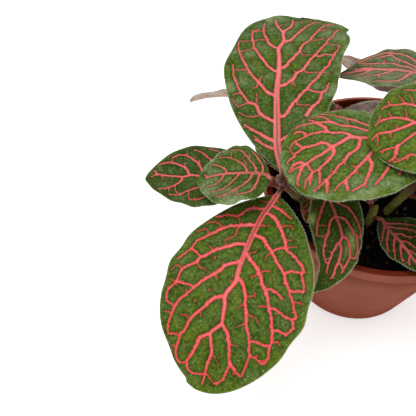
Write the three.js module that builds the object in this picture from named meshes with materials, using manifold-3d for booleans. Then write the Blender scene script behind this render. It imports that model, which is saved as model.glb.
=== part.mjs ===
// A potted nerve plant in its plastic nursery pot: pot, soil, leafy shoots and each leaf on its own.
// Millimetres. The origin is the centre of the pot's base and +Z is up.
// +X and +Y lie along the surface that the pot stands on, with -Y at the front of the plant.
import * as THREE from 'three'
import { mergeVertices } from 'three/addons/utils/BufferGeometryUtils.js'
import Module from 'manifold-3d'

const wasm = await Module()
wasm.setup()

// Pot
const RIM_RADIUS = 52.5
const BASE_RADIUS = 31
const POT_HEIGHT = 78
const WALL = 1.6
const FLOOR = 2.4
const LIP_WIDTH = 3.4
const LIP_DEPTH = 5
const BASE_ROUND = 4
const POT_SIDES = 40
const DRAIN_HOLES = 6
const DRAIN_RADIUS = 3.5
const DRAIN_CIRCLE = 20
const DRAIN_SIDES = 12

// Soil
const CLEAR = 0.3
const SOIL_EDGE = 68
const SOIL_CROWN = 70
const SOIL_SIDES = 40

// Stems
const STEM_FOOT = 1.9
const STEM_TOP = 1.4
const STEM_SIDES = 6
const STEM_STEPS = 10
const BURIED = 54
const NODE_SWELL = 0.3
const NODE_SPREAD = 0.03
const BUD_WAIST = 2
const BUD_LENGTH = 5
const BUD_TIP = 0.4

// Leaves
const EDGE_HALF = 0.36
const PETIOLE_RADIUS = 1.0
const TIP_HALF = 0.7
const TUBE_FADE = 0.2
const LARGE_LEAF = 50
const LARGE_STEPS = 9
const SMALL_STEPS = 7
const LARGE_ACROSS = [-1, -0.7, -0.35, 0, 0.35, 0.7, 1]
const SMALL_ACROSS = [-1, -0.55, 0, 0.55, 1]

const rad = degrees => degrees * Math.PI / 180
const mix = (a, b, f) => a + (b - a) * f

// Each shoot is a stem along a quadratic curve from foot, by way of bend, to top, with its leaves.
// A leaf grows at a node, a fraction of the stem's length. Its petiole leaves the stem at the angle
// rise and reaches the blade at the angle pitch. Over the blade's length that angle falls by arch
// and the heading turns by sweep. Headings count from +X, anticlockwise seen from above. Roll lifts
// the blade's right side, fold lifts both sides off the midrib and bow bends their edges down again.
// The outline is widest at the fraction widest, and full or pointed by the powers base and tip.
const LEAF = { petiole: 5, rise: 40, pitch: 15, roll: 0, arch: 40, sweep: 0, widest: 0.5,
  base: 0.75, tip: 0.7, fold: 0.12, bow: 0.12, wave: 0.5, phase: 0 }

const SHOOTS = {
  left: {
    foot: [-22, -6, BURIED], bend: [-43, -10, 82], top: [-49.5, -26, 108],
    leaves: {
      back: { node: 0.84, heading: 92, petiole: 3, rise: 30, pitch: 30, roll: 3, length: 90, width: 53,
        arch: 47, sweep: -21, widest: 0.56, base: 0.62, tip: 0.38, fold: 0.1 },
      front: { node: 0.84, heading: 244, petiole: 4, rise: 20, pitch: -4, roll: -8, length: 82, width: 58,
        arch: 36, sweep: 1, tip: 0.5 },
      left: { node: 0.68, heading: 172, petiole: 9, rise: 25, pitch: 14, length: 49, width: 33,
        arch: 27, sweep: 15 },
      left_top: { node: 0.96, heading: 176, petiole: 2, rise: 30, pitch: 14, length: 29, width: 32, arch: 42,
        sweep: 8, base: 0.5 },
      right_top: { node: 0.98, heading: 0, petiole: 1, rise: 10, pitch: 6, roll: 8, length: 20, width: 22,
        arch: 20, widest: 0.45, base: 0.4 },
      low: { node: 0.5, heading: 98, petiole: 6, rise: 30, pitch: 8, length: 36, width: 25, arch: 30 },
    },
  },
  tall: {
    foot: [-2, -13, BURIED], bend: [6, -14, 92], top: [36, -15.5, 129],
    leaves: {
      left_top: { node: 0.96, heading: 187, petiole: 4, rise: 30, pitch: 13, roll: -4, length: 47, width: 50,
        arch: 42, tip: 0.5 },
      right_top: { node: 0.96, heading: 7, petiole: 4, rise: 30, pitch: 20, length: 42, width: 36, arch: 50 },
      left: { node: 0.71, heading: 185, petiole: 10, rise: 35, pitch: 24, roll: -11, length: 61, width: 54,
        arch: 50, sweep: 18, widest: 0.53, tip: 0.35 },
      right: { node: 0.71, heading: 20, petiole: 10, rise: 30, pitch: 20, length: 56, width: 42, arch: 45 },
      front: { node: 0.84, heading: 290, petiole: 6, rise: 30, pitch: 20, length: 48, width: 38, arch: 50 },
      back: { node: 0.84, heading: 70, petiole: 6, rise: 35, pitch: 30, length: 50, width: 38, arch: 50 },
      low_front: { node: 0.4, heading: 335, petiole: 4, rise: 30, pitch: 15, length: 20, width: 16,
        arch: 35 },
      low_back: { node: 0.5, heading: 105, petiole: 5, rise: 30, pitch: 10, length: 34, width: 24, arch: 30 },
    },
  },
  rear: {
    foot: [14, 18, BURIED], bend: [20, 30, 84], top: [37, 38, 100],
    leaves: {
      left: { node: 0.95, heading: 170, petiole: 6, rise: 20, pitch: 10, roll: -12, length: 48, width: 36,
        arch: 34, widest: 0.4, tip: 1.05, fold: 0.25 },
      right: { node: 0.95, heading: 350, petiole: 5, rise: 30, pitch: 25, length: 34, width: 28, arch: 45 },
      behind: { node: 0.72, heading: 78, petiole: 6, rise: 25, pitch: 5, length: 50, width: 38, arch: 50 },
      left_far: { node: 0.72, heading: 143, petiole: 6, rise: 8, pitch: -2, roll: -80, length: 44, width: 15,
        arch: -10, widest: 0.6 },
      low_left: { node: 0.5, heading: 178, petiole: 5, rise: 40, pitch: 26, roll: -75, length: 32,
        width: 22 },
    },
  },
  short: {
    foot: [-7, -18, BURIED], bend: [-7, -19, 70], top: [-6.5, -21, 81],
    leaves: {
      right: { node: 0.88, heading: 304, petiole: 2, rise: 25, pitch: 20, length: 36, width: 24, arch: 34 },
      back: { node: 0.88, heading: 95, petiole: 2, rise: 30, pitch: 15, length: 18, width: 14, arch: 20 },
    },
  },
  middle: {
    foot: [-16, -2, BURIED], bend: [-24, -2, 80], top: [-32, -8, 94],
    leaves: {
      front: { node: 0.9, heading: 292, petiole: 4, rise: 20, pitch: 12, length: 54, width: 21, arch: 52,
        sweep: -66, widest: 0.42, tip: 0.85, fold: 0.2, bow: 0.2 },
      back: { node: 0.9, heading: 78, petiole: 4, rise: 30, pitch: 10, length: 40, width: 24, arch: 30 },
      left: { node: 0.62, heading: 246, petiole: 3, rise: 10, pitch: 5, length: 19, width: 11, arch: 20 },
      right: { node: 0.62, heading: 15, petiole: 4, rise: 30, pitch: 10, length: 28, width: 18, arch: 25 },
    },
  },
  shaded: {
    foot: [-24, 20, BURIED], bend: [-34, 30, 82], top: [-48, 40, 98],
    leaves: {
      left: { node: 0.9, heading: 176, petiole: 4, rise: 20, pitch: 5, roll: -50, length: 36, width: 24,
        arch: 35 },
      right: { node: 0.9, heading: 10, petiole: 4, rise: 20, pitch: 5, length: 20, width: 16 },
      behind: { node: 0.7, heading: 95, petiole: 5, rise: 30, pitch: 15, length: 50, width: 36, arch: 45 },
    },
  },
  right: {
    foot: [24, -18, BURIED], bend: [36, -24, 80], top: [50, -34, 100],
    leaves: {
      front: { node: 0.84, heading: 285, petiole: 5, rise: 25, pitch: 10, length: 70, width: 52,
        arch: 50, tip: 0.55 },
      back: { node: 0.84, heading: 95, petiole: 5, rise: 30, pitch: 25, length: 40, width: 30, arch: 40 },
      right: { node: 0.66, heading: 345, petiole: 8, rise: 20, pitch: 10, length: 52, width: 36, arch: 40 },
      left: { node: 0.66, heading: 214, petiole: 3, rise: 20, pitch: 5, length: 15, width: 13, arch: 30 },
    },
  },
  edge: {
    foot: [17, -30, BURIED], bend: [23, -38, 76], top: [24, -46, 94],
    leaves: {
      front: { node: 0.9, heading: 266, petiole: 4, rise: 20, pitch: 5, length: 36, width: 26, arch: 45 },
      back: { node: 0.9, heading: 86, petiole: 3, rise: 30, pitch: 15, length: 22, width: 16, arch: 25 },
      right: { node: 0.62, heading: 335, petiole: 3, rise: 20, pitch: 8, length: 18, width: 14, arch: 25 },
    },
  },
  far: {
    foot: [30, 12, BURIED], bend: [42, 20, 80], top: [56, 28, 98],
    leaves: {
      right: { node: 0.92, heading: 5, petiole: 5, rise: 25, pitch: 10, length: 50, width: 40, arch: 50 },
      left: { node: 0.92, heading: 185, petiole: 3, rise: 20, pitch: 0, length: 18, width: 16, arch: 30 },
      behind: { node: 0.72, heading: 58, petiole: 6, rise: 25, pitch: 5, length: 50, width: 38, arch: 50 },
      front: { node: 0.72, heading: 300, petiole: 4, rise: 20, pitch: 5, length: 30, width: 22, arch: 35 },
    },
  },
}

// A closed solid through rings of the same even number of points, in order round each ring.
// The first half of a ring faces the second half, point by point, so both halves are split alike
// and each end is closed by the strip between them.
function loft(rings) {
  const count = rings[0].length
  const half = count / 2
  const points = rings.flat()
  const faces = []
  for (let i = 0; i + 1 < rings.length; i++) {
    for (let j = 0; j < count; j++) {
      const a = i * count + j
      const b = i * count + (j + 1) % count
      if (j < half) faces.push([a, b, a + count], [b, b + count, a + count])
      else faces.push([a, b, b + count], [a, b + count, a + count])
    }
  }
  const last = (rings.length - 1) * count
  for (let j = 0; j + 1 < half; j++) {
    const across = count - 1 - j
    faces.push([j, across - 1, j + 1], [j, across, across - 1])
    faces.push([last + j, last + j + 1, last + across - 1], [last + j, last + across - 1, last + across])
  }
  const geometry = new THREE.BufferGeometry()
  geometry.setAttribute('position', new THREE.Float32BufferAttribute(points.flatMap(p => p.toArray()), 3))
  geometry.setIndex(faces.flat())
  geometry.computeVertexNormals()
  return geometry
}

function solidOf(geometry) {
  const plain = new THREE.BufferGeometry()
  plain.setAttribute('position', geometry.getAttribute('position').clone())
  plain.setIndex(geometry.index)
  const merged = mergeVertices(plain)
  const vertProperties = new Float32Array(merged.getAttribute('position').array)
  const triVerts = new Uint32Array(merged.index.array)
  return new wasm.Manifold(new wasm.Mesh({ numProp: 3, vertProperties, triVerts }))
}

function geometryOf(solid) {
  const mesh = solid.getMesh()
  const geometry = new THREE.BufferGeometry()
  geometry.setAttribute('position', new THREE.BufferAttribute(new Float32Array(mesh.vertProperties), 3))
  geometry.setIndex(Array.from(mesh.triVerts))
  geometry.computeVertexNormals()
  return geometry
}

// A profile of [radius, height] points turned about the pot's axis.
function turned(profile, sides) {
  const geometry = new THREE.LatheGeometry(profile.map(([r, z]) => new THREE.Vector2(r, z)), sides)
  return geometry.rotateX(Math.PI / 2)
}

// Radius of the pot's outer wall under the lip at a height.
const outerRadius = z => mix(BASE_RADIUS, RIM_RADIUS - 1, z / POT_HEIGHT)

function pot() {
  const lipFoot = POT_HEIGHT - LIP_DEPTH
  const round = LIP_WIDTH / 4
  const profile = [
    [0, 0],
    [BASE_RADIUS - BASE_ROUND, 0],
    [BASE_RADIUS - BASE_ROUND * 0.3, BASE_ROUND * 0.3],
    [outerRadius(BASE_ROUND), BASE_ROUND],
    [outerRadius(lipFoot), lipFoot],
    [RIM_RADIUS, lipFoot + round],
    [RIM_RADIUS, POT_HEIGHT - round],
    [RIM_RADIUS - round, POT_HEIGHT],
    [RIM_RADIUS - LIP_WIDTH + round, POT_HEIGHT],
    [RIM_RADIUS - LIP_WIDTH, POT_HEIGHT - round],
    [outerRadius(lipFoot) - WALL, lipFoot],
    [outerRadius(BASE_ROUND) - WALL, BASE_ROUND],
    [BASE_RADIUS - BASE_ROUND, FLOOR],
    [0, FLOOR],
  ]
  let body = solidOf(turned(profile, POT_SIDES))
  for (let i = 0; i < DRAIN_HOLES; i++) {
    const angle = 2 * Math.PI * i / DRAIN_HOLES
    const hole = new THREE.CylinderGeometry(DRAIN_RADIUS, DRAIN_RADIUS, 2 * FLOOR, DRAIN_SIDES)
    hole.rotateX(Math.PI / 2)
    hole.translate(DRAIN_CIRCLE * Math.cos(angle), DRAIN_CIRCLE * Math.sin(angle), FLOOR / 2)
    body = body.subtract(solidOf(hole))
  }
  return geometryOf(body)
}

function soil() {
  const wall = z => outerRadius(z) - WALL - 2 * CLEAR
  const lowest = FLOOR + CLEAR
  const corner = BASE_ROUND + 2 * CLEAR
  const profile = [
    [0, lowest],
    [BASE_RADIUS - BASE_ROUND - CLEAR, lowest],
    [wall(corner), corner],
    [wall(SOIL_EDGE), SOIL_EDGE],
    [wall(SOIL_EDGE) * 0.7, mix(SOIL_EDGE, SOIL_CROWN, 0.7)],
    [0, SOIL_CROWN],
  ]
  let body = solidOf(turned(profile, SOIL_SIDES))
  for (const shoot of Object.values(SHOOTS)) body = body.subtract(solidOf(stem(shoot, CLEAR)))
  return geometryOf(body)
}

function curveOf(shoot) {
  const [foot, bend, top] = [shoot.foot, shoot.bend, shoot.top].map(p => new THREE.Vector3(...p))
  return new THREE.QuadraticBezierCurve3(foot, bend, top)
}

// Radius of a stem at a fraction of its length: it tapers, and swells where a pair of leaves grows.
function stemRadius(shoot, f) {
  const nodes = Object.values(shoot.leaves).map(leaf => leaf.node)
  const swell = Math.max(...nodes.map(node => Math.exp(-(((f - node) / NODE_SPREAD) ** 2))))
  return mix(STEM_FOOT, STEM_TOP, f) + NODE_SWELL * swell
}

// A stem with a small bud at its end, grown by the amount extra on every side.
function stem(shoot, extra = 0) {
  const curve = curveOf(shoot)
  const rings = []
  const ringAt = (centre, along, radius) => {
    const side = new THREE.Vector3(0, 1, 0).cross(along).normalize()
    const front = along.clone().cross(side)
    return Array.from({ length: STEM_SIDES }, (_, j) => {
      const angle = 2 * Math.PI * (j + 0.5) / STEM_SIDES
      return centre.clone().addScaledVector(side, radius * Math.cos(angle))
        .addScaledVector(front, radius * Math.sin(angle))
    })
  }
  for (let i = 0; i <= STEM_STEPS; i++) {
    const f = i / STEM_STEPS
    const along = curve.getTangent(f)
    const centre = curve.getPoint(f)
    if (i === 0) centre.addScaledVector(along, -extra)
    rings.push(ringAt(centre, along, stemRadius(shoot, f) + extra))
  }
  const along = curve.getTangent(1)
  const past = distance => curve.getPoint(1).addScaledVector(along, distance + extra)
  rings.push(ringAt(past(BUD_WAIST), along, STEM_TOP + extra))
  rings.push(ringAt(past(BUD_LENGTH), along, STEM_TOP * BUD_TIP + extra))
  return loft(rings)
}

// The line of a leaf's petiole and midrib: for each station, the distance from the blade's start
// in mm, the point, and the directions along it, to its right side and up out of its face.
function midrib(shoot, leaf, stations) {
  const curve = curveOf(shoot)
  const axis = curve.getTangent(leaf.node)
  const away = direction(leaf.heading, 0)
  away.addScaledVector(axis, -away.dot(axis)).normalize()
  const slant = Math.sqrt(1 - direction(leaf.heading, leaf.rise).dot(away) ** 2)
  const reach = stemRadius(shoot, leaf.node) + CLEAR + PETIOLE_RADIUS * slant
  const point = curve.getPoint(leaf.node).addScaledVector(away, reach)
  const angles = u => {
    if (u < 0) return [leaf.heading, mix(leaf.pitch, leaf.rise, -u / leaf.petiole)]
    return [leaf.heading + leaf.sweep * u / leaf.length, leaf.pitch - leaf.arch * u / leaf.length]
  }
  const line = []
  let u = -leaf.petiole
  for (const station of stations) {
    const steps = Math.max(1, Math.ceil(station - u))
    const step = (station - u) / steps
    for (let k = 0; k < steps; k++) {
      point.addScaledVector(direction(...angles(u + step / 2)), step)
      u += step
    }
    const [heading, pitch] = angles(station)
    const along = direction(heading, pitch)
    const level = new THREE.Vector3(Math.sin(rad(heading)), -Math.cos(rad(heading)), 0)
    const over = level.clone().cross(along)
    const turn = rad(leaf.roll)
    const right = level.clone().multiplyScalar(Math.cos(turn)).addScaledVector(over, Math.sin(turn))
    const up = over.clone().multiplyScalar(Math.cos(turn)).addScaledVector(level, -Math.sin(turn))
    line.push({ u: station, point: point.clone(), along, right, up })
  }
  return line
}

// The direction with a heading on the ground and an angle above it, in degrees.
function direction(heading, pitch) {
  const h = rad(heading)
  const p = rad(pitch)
  return new THREE.Vector3(Math.cos(h) * Math.cos(p), Math.sin(h) * Math.cos(p), Math.sin(p))
}

// Half the blade's width at a fraction t of its length: a sine arch whose top is moved to the widest
// point, raised to one power towards the base and to another towards the tip.
function halfWidth(leaf, t) {
  const lean = Math.log(0.5) / Math.log(leaf.widest)
  const arch = Math.max(Math.sin(Math.PI * Math.pow(t, lean)), 0)
  const power = t < leaf.widest ? leaf.base : leaf.tip
  const least = mix(PETIOLE_RADIUS, TIP_HALF, t)
  return Math.max(least, leaf.width / 2 * Math.pow(arch, power))
}

// A leaf: petiole and blade in one closed skin. The petiole is a round tube that flattens over the
// first part of the blade. The blade is a thin sheet of even thickness, twice EDGE_HALF, with a
// thicker midrib below, and its stations are closer together at both ends.
function blade(shoot, spec) {
  const leaf = { ...LEAF, ...spec }
  const large = leaf.length > LARGE_LEAF
  const steps = large ? LARGE_STEPS : SMALL_STEPS
  const across = large ? LARGE_ACROSS : SMALL_ACROSS
  const ts = Array.from({ length: steps + 1 }, (_, i) => (1 - Math.cos(Math.PI * i / steps)) / 2)
  const stations = [-leaf.petiole, -leaf.petiole / 2, ...ts.map(t => t * leaf.length)]
  const rings = midrib(shoot, leaf, stations).map(({ u, point, right, up }) => {
    const t = Math.max(0, u / leaf.length)
    const half = u < 0 ? PETIOLE_RADIUS : halfWidth(leaf, t)
    const flat = Math.min(1, t / TUBE_FADE)
    const at = s => {
      const q = s * half
      const ripple = leaf.wave * Math.sin(3 * Math.PI * t + leaf.phase + s) * s * s * Math.sin(Math.PI * t)
      const lift = flat * (leaf.fold * Math.abs(q) - leaf.bow * q * q / (leaf.width / 2)) + ripple
      return point.clone().addScaledVector(right, q).addScaledVector(up, lift)
    }
    const tube = s => EDGE_HALF + (PETIOLE_RADIUS - EDGE_HALF) * Math.sqrt(1 - s * s) * (1 - flat)
    const rib = s => (PETIOLE_RADIUS - EDGE_HALF) * (1 - t) * Math.pow(1 - Math.abs(s), 2) * flat
    const upper = across.map(s => at(s).addScaledVector(faceUp(at, s, up, right), tube(s)))
    const lower = across.map(s => at(s).addScaledVector(faceUp(at, s, up, right), -tube(s) - rib(s)))
    return [...upper, ...lower.reverse()]
  })
  return loft(rings)
}

// The direction out of the blade's face at s, square to its section.
function faceUp(at, s, up, right) {
  const step = 0.05
  const slope = at(Math.min(1, s + step)).sub(at(Math.max(-1, s - step)))
  const rise = slope.dot(up) / slope.dot(right)
  return up.clone().addScaledVector(right, -rise).normalize()
}

const plastic = new THREE.MeshStandardMaterial({ color: 0x8a4b3c, roughness: 0.55, metalness: 0 })
const earth = new THREE.MeshStandardMaterial({ color: 0x1c1512, roughness: 0.95, metalness: 0 })
const stalk = new THREE.MeshStandardMaterial({ color: 0x9a7a52, roughness: 0.6, metalness: 0 })
const foliage = new THREE.MeshStandardMaterial({ color: 0x47662c, roughness: 0.5, metalness: 0 })

const group = new THREE.Group()
const add = (name, geometry, material) => {
  const mesh = new THREE.Mesh(geometry, material)
  mesh.name = name
  group.add(mesh)
}
add('pot', pot(), plastic)
add('soil', soil(), earth)
for (const [place, shoot] of Object.entries(SHOOTS)) {
  add(`stem_${place}`, stem(shoot), stalk)
  for (const [side, leaf] of Object.entries(shoot.leaves)) {
    add(`leaf_${place}_${side}`, blade(shoot, leaf), foliage)
  }
}

export default group
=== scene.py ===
"""The looks of a potted nerve plant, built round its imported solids.

The plant's table of shoots and leaves is in millimetres, as the solids are, and MM turns it into
metres. Every fine piece follows the same formulas as its solid, with veins, quilting and hairs.
"""

import bpy
import numpy as np
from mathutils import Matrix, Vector


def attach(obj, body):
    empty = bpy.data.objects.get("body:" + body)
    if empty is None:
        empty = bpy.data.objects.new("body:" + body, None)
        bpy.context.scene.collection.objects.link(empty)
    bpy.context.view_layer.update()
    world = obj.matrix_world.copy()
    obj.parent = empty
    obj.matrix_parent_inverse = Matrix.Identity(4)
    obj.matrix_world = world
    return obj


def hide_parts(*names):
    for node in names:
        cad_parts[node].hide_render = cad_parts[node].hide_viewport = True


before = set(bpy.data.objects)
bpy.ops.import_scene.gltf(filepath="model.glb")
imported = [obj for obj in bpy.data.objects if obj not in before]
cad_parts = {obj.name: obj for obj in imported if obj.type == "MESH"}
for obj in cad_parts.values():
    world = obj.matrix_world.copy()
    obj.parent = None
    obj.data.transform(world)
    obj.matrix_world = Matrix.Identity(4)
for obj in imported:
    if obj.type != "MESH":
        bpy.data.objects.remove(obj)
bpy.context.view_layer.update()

# CLEAR is the gap in mm that keeps neighbouring pieces apart.
MM = 0.001
BODY = "root"
CLEAR = 0.3

# Pot
RIM_RADIUS = 52.5
BASE_RADIUS = 31
POT_HEIGHT = 78
WALL = 1.6
FLOOR = 2.4
LIP_WIDTH = 3.4
LIP_DEPTH = 5
BASE_ROUND = 4
DRAIN_HOLES = 6
DRAIN_RADIUS = 3.5
DRAIN_CIRCLE = 20
DRAIN_CUT = 6
POT_SIDES = 192
DRAIN_SIDES = 40

# Soil
SOIL_EDGE = 68
SOIL_CROWN = 70
SOIL_GAP = 0.4
SOIL_RINGS = 90
SOIL_SIDES = 300
CRUMBS = 1500
PERLITE_BITS = 110
FIBRES = 150
SOIL_SEED = 11
STREWN_SEED = 23

# Stems
STEM_FOOT = 1.9
STEM_TOP = 1.4
BURIED = 54
NODE_SWELL = 0.3
NODE_SPREAD = 0.03
STEM_SIDES = 20
STEM_STEPS = 90

# Leaves. A petiole starts ROOTED mm back towards the stem, and over the fraction TUBE_FADE of the
# blade its round skin thins to the blade's. The mesh is finer on the leaves whose veins are listed.
PETIOLE_RADIUS = 1.0
TUBE_FADE = 0.2
BLADE_HALF = 0.2
TIP_HALF = 0.15
ROOTED = 1.4
SHOWN_SPACING = 0.4
HIDDEN_SPACING = 0.58
SIDE_CROWDING = 0.55
UNEVEN = 0.014
SOFT_FOLD = 1.2
DRAPE = 0.35
FRILL = 0.3
VEIN_SLOPE = 1.6
GRAIN = 0.05
QUILT = 0.42
RIB_TOP = 0.25
RIB_BELOW = 0.55
KEEL = 0.9

# Hairs
HAIR_GAP = 0.33
HAIR_RADIUS = 0.045
HAIR_SEED = 40
HAIRY_FROM = 0.28
STEM_HAIRS = 420
BUD_HAIRS = 260
PETIOLE_HAIRS = 12

# Floor, light and camera
FLOOR_RADIUS = 6000
FLOOR_SIDES = 128
FLOOR_GLOW = 0.5
WORLD_LIGHT = 0.75
LIT_POINT = (0, 0, 0.08)

# Each lamp's place and size in metres and its power in watts. They shine at LIT_POINT, in metres.
# The camera looks from EYE to AIM, in millimetres.
LAMPS = dict(key=((-0.25, -0.05, 0.9), 0.6, 5.5), fill=((0.5, -0.6, 0.5), 0.9, 1.2),
             back=((0.2, 0.7, 0.6), 0.9, 1.5))
EYE = (-77.3, -184, 297)
AIM = (-77.3, -17.5, 78)
LENS = 55.04
SENSOR = 36

LEAF = dict(petiole=5, rise=40, pitch=15, roll=0, arch=40, sweep=0, widest=0.5, base=0.75, tip=0.7,
            fold=0.12, bow=0.12, wave=0.5)

# Each shoot is a stem along a quadratic curve from foot, by way of bend, to top, with its leaves.
# A leaf grows at a node, a fraction of the stem's length. Its petiole leaves the stem at the angle
# rise and reaches the blade at the angle pitch. Over the blade's length that angle falls by arch
# and the heading turns by sweep. Roll lifts the blade's right side, fold lifts both sides off the
# midrib and bow bends their edges down again. The outline is widest at the fraction widest, and
# full or pointed by the powers base and tip.
SHOOTS = {
    "left": dict(foot=(-22, -6, BURIED), bend=(-43, -10, 82), top=(-49.5, -26, 108), leaves={
        "back": dict(node=0.84, heading=92, petiole=3, rise=30, pitch=30, roll=3, length=90, width=53,
                     arch=47, sweep=-21, widest=0.56, base=0.62, tip=0.38, fold=0.1),
        "front": dict(node=0.84, heading=244, petiole=4, rise=20, pitch=-4, roll=-8, length=82,
                      width=58, arch=36, sweep=1, tip=0.5),
        "left": dict(node=0.68, heading=172, petiole=9, rise=25, pitch=14, length=49, width=33,
                     arch=27, sweep=15),
        "left_top": dict(node=0.96, heading=176, petiole=2, rise=30, pitch=14, length=29, width=32,
                         arch=42, sweep=8, base=0.5),
        "right_top": dict(node=0.98, heading=0, petiole=1, rise=10, pitch=6, roll=8, length=20,
                          width=22, arch=20, widest=0.45, base=0.4),
        "low": dict(node=0.5, heading=98, petiole=6, rise=30, pitch=8, length=36, width=25, arch=30),
    }),
    "tall": dict(foot=(-2, -13, BURIED), bend=(6, -14, 92), top=(36, -15.5, 129), leaves={
        "left_top": dict(node=0.96, heading=187, petiole=4, rise=30, pitch=13, roll=-4, length=47,
                         width=50, arch=42, tip=0.5),
        "right_top": dict(node=0.96, heading=7, petiole=4, rise=30, pitch=20, length=42, width=36,
                          arch=50),
        "left": dict(node=0.71, heading=185, petiole=10, rise=35, pitch=24, roll=-11, length=61,
                     width=54, arch=50, sweep=18, widest=0.53, tip=0.35),
        "right": dict(node=0.71, heading=20, petiole=10, rise=30, pitch=20, length=56, width=42,
                      arch=45),
        "front": dict(node=0.84, heading=290, petiole=6, rise=30, pitch=20, length=48, width=38,
                      arch=50),
        "back": dict(node=0.84, heading=70, petiole=6, rise=35, pitch=30, length=50, width=38,
                     arch=50),
        "low_front": dict(node=0.4, heading=335, petiole=4, rise=30, pitch=15, length=20, width=16,
                          arch=35),
        "low_back": dict(node=0.5, heading=105, petiole=5, rise=30, pitch=10, length=34, width=24,
                         arch=30),
    }),
    "rear": dict(foot=(14, 18, BURIED), bend=(20, 30, 84), top=(37, 38, 100), leaves={
        "left": dict(node=0.95, heading=170, petiole=6, rise=20, pitch=10, roll=-12, length=48,
                     width=36, arch=34, widest=0.4, tip=1.05, fold=0.25),
        "right": dict(node=0.95, heading=350, petiole=5, rise=30, pitch=25, length=34, width=28,
                      arch=45),
        "behind": dict(node=0.72, heading=78, petiole=6, rise=25, pitch=5, length=50, width=38,
                       arch=50),
        "left_far": dict(node=0.72, heading=143, petiole=6, rise=8, pitch=-2, roll=-80, length=44,
                         width=15, arch=-10, widest=0.6),
        "low_left": dict(node=0.5, heading=178, petiole=5, rise=40, pitch=26, roll=-75, length=32,
                         width=22),
    }),
    "short": dict(foot=(-7, -18, BURIED), bend=(-7, -19, 70), top=(-6.5, -21, 81), leaves={
        "right": dict(node=0.88, heading=304, petiole=2, rise=25, pitch=20, length=36, width=24,
                      arch=34),
        "back": dict(node=0.88, heading=95, petiole=2, rise=30, pitch=15, length=18, width=14,
                     arch=20),
    }),
    "middle": dict(foot=(-16, -2, BURIED), bend=(-24, -2, 80), top=(-32, -8, 94), leaves={
        "front": dict(node=0.9, heading=292, petiole=4, rise=20, pitch=12, length=54, width=21,
                      arch=52, sweep=-66, widest=0.42, tip=0.85, fold=0.2, bow=0.2),
        "back": dict(node=0.9, heading=78, petiole=4, rise=30, pitch=10, length=40, width=24,
                     arch=30),
        "left": dict(node=0.62, heading=246, petiole=3, rise=10, pitch=5, length=19, width=11,
                     arch=20),
        "right": dict(node=0.62, heading=15, petiole=4, rise=30, pitch=10, length=28, width=18,
                      arch=25),
    }),
    "shaded": dict(foot=(-24, 20, BURIED), bend=(-34, 30, 82), top=(-48, 40, 98), leaves={
        "left": dict(node=0.9, heading=176, petiole=4, rise=20, pitch=5, roll=-50, length=36,
                     width=24, arch=35),
        "right": dict(node=0.9, heading=10, petiole=4, rise=20, pitch=5, length=20, width=16),
        "behind": dict(node=0.7, heading=95, petiole=5, rise=30, pitch=15, length=50, width=36,
                       arch=45),
    }),
    "right": dict(foot=(24, -18, BURIED), bend=(36, -24, 80), top=(50, -34, 100), leaves={
        "front": dict(node=0.84, heading=285, petiole=5, rise=25, pitch=10, length=70, width=52,
                      arch=50, tip=0.55),
        "back": dict(node=0.84, heading=95, petiole=5, rise=30, pitch=25, length=40, width=30,
                     arch=40),
        "right": dict(node=0.66, heading=345, petiole=8, rise=20, pitch=10, length=52, width=36,
                      arch=40),
        "left": dict(node=0.66, heading=214, petiole=3, rise=20, pitch=5, length=15, width=13,
                     arch=30),
    }),
    "edge": dict(foot=(17, -30, BURIED), bend=(23, -38, 76), top=(24, -46, 94), leaves={
        "front": dict(node=0.9, heading=266, petiole=4, rise=20, pitch=5, length=36, width=26,
                      arch=45),
        "back": dict(node=0.9, heading=86, petiole=3, rise=30, pitch=15, length=22, width=16,
                     arch=25),
        "right": dict(node=0.62, heading=335, petiole=3, rise=20, pitch=8, length=18, width=14,
                      arch=25),
    }),
    "far": dict(foot=(30, 12, BURIED), bend=(42, 20, 80), top=(56, 28, 98), leaves={
        "right": dict(node=0.92, heading=5, petiole=5, rise=25, pitch=10, length=50, width=40,
                      arch=50),
        "left": dict(node=0.92, heading=185, petiole=3, rise=20, pitch=0, length=18, width=16,
                     arch=30),
        "behind": dict(node=0.72, heading=58, petiole=6, rise=25, pitch=5, length=50, width=38,
                       arch=50),
        "front": dict(node=0.72, heading=300, petiole=4, rise=20, pitch=5, length=30, width=22,
                      arch=35),
    }),
}


def mix(a, b, f):
    """a at f = 0, b at f = 1, and evenly between."""
    return a + (b - a) * f


def smooth(low, high, value):
    """0 below low, 1 above high, and an even S-curve between."""
    t = np.clip((value - low) / (high - low), 0, 1)
    return t * t * (3 - 2 * t)


def waves(rng, count, low, high):
    """A smooth random function of two coordinates: count sine waves in random directions, with
    between low and high radians to the unit, added and divided by the root of their number."""
    turn = rng.uniform(0, 2 * np.pi, count)
    size = rng.uniform(low, high, count)
    shift = rng.uniform(0, 2 * np.pi, count)

    def at(x, y):
        total = np.zeros(np.broadcast(x, y).shape)
        for a, k, p in zip(turn, size, shift):
            total = total + np.sin(k * (x * np.cos(a) + y * np.sin(a)) + p)
        return total / np.sqrt(count)

    return at


# Meshes

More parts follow.
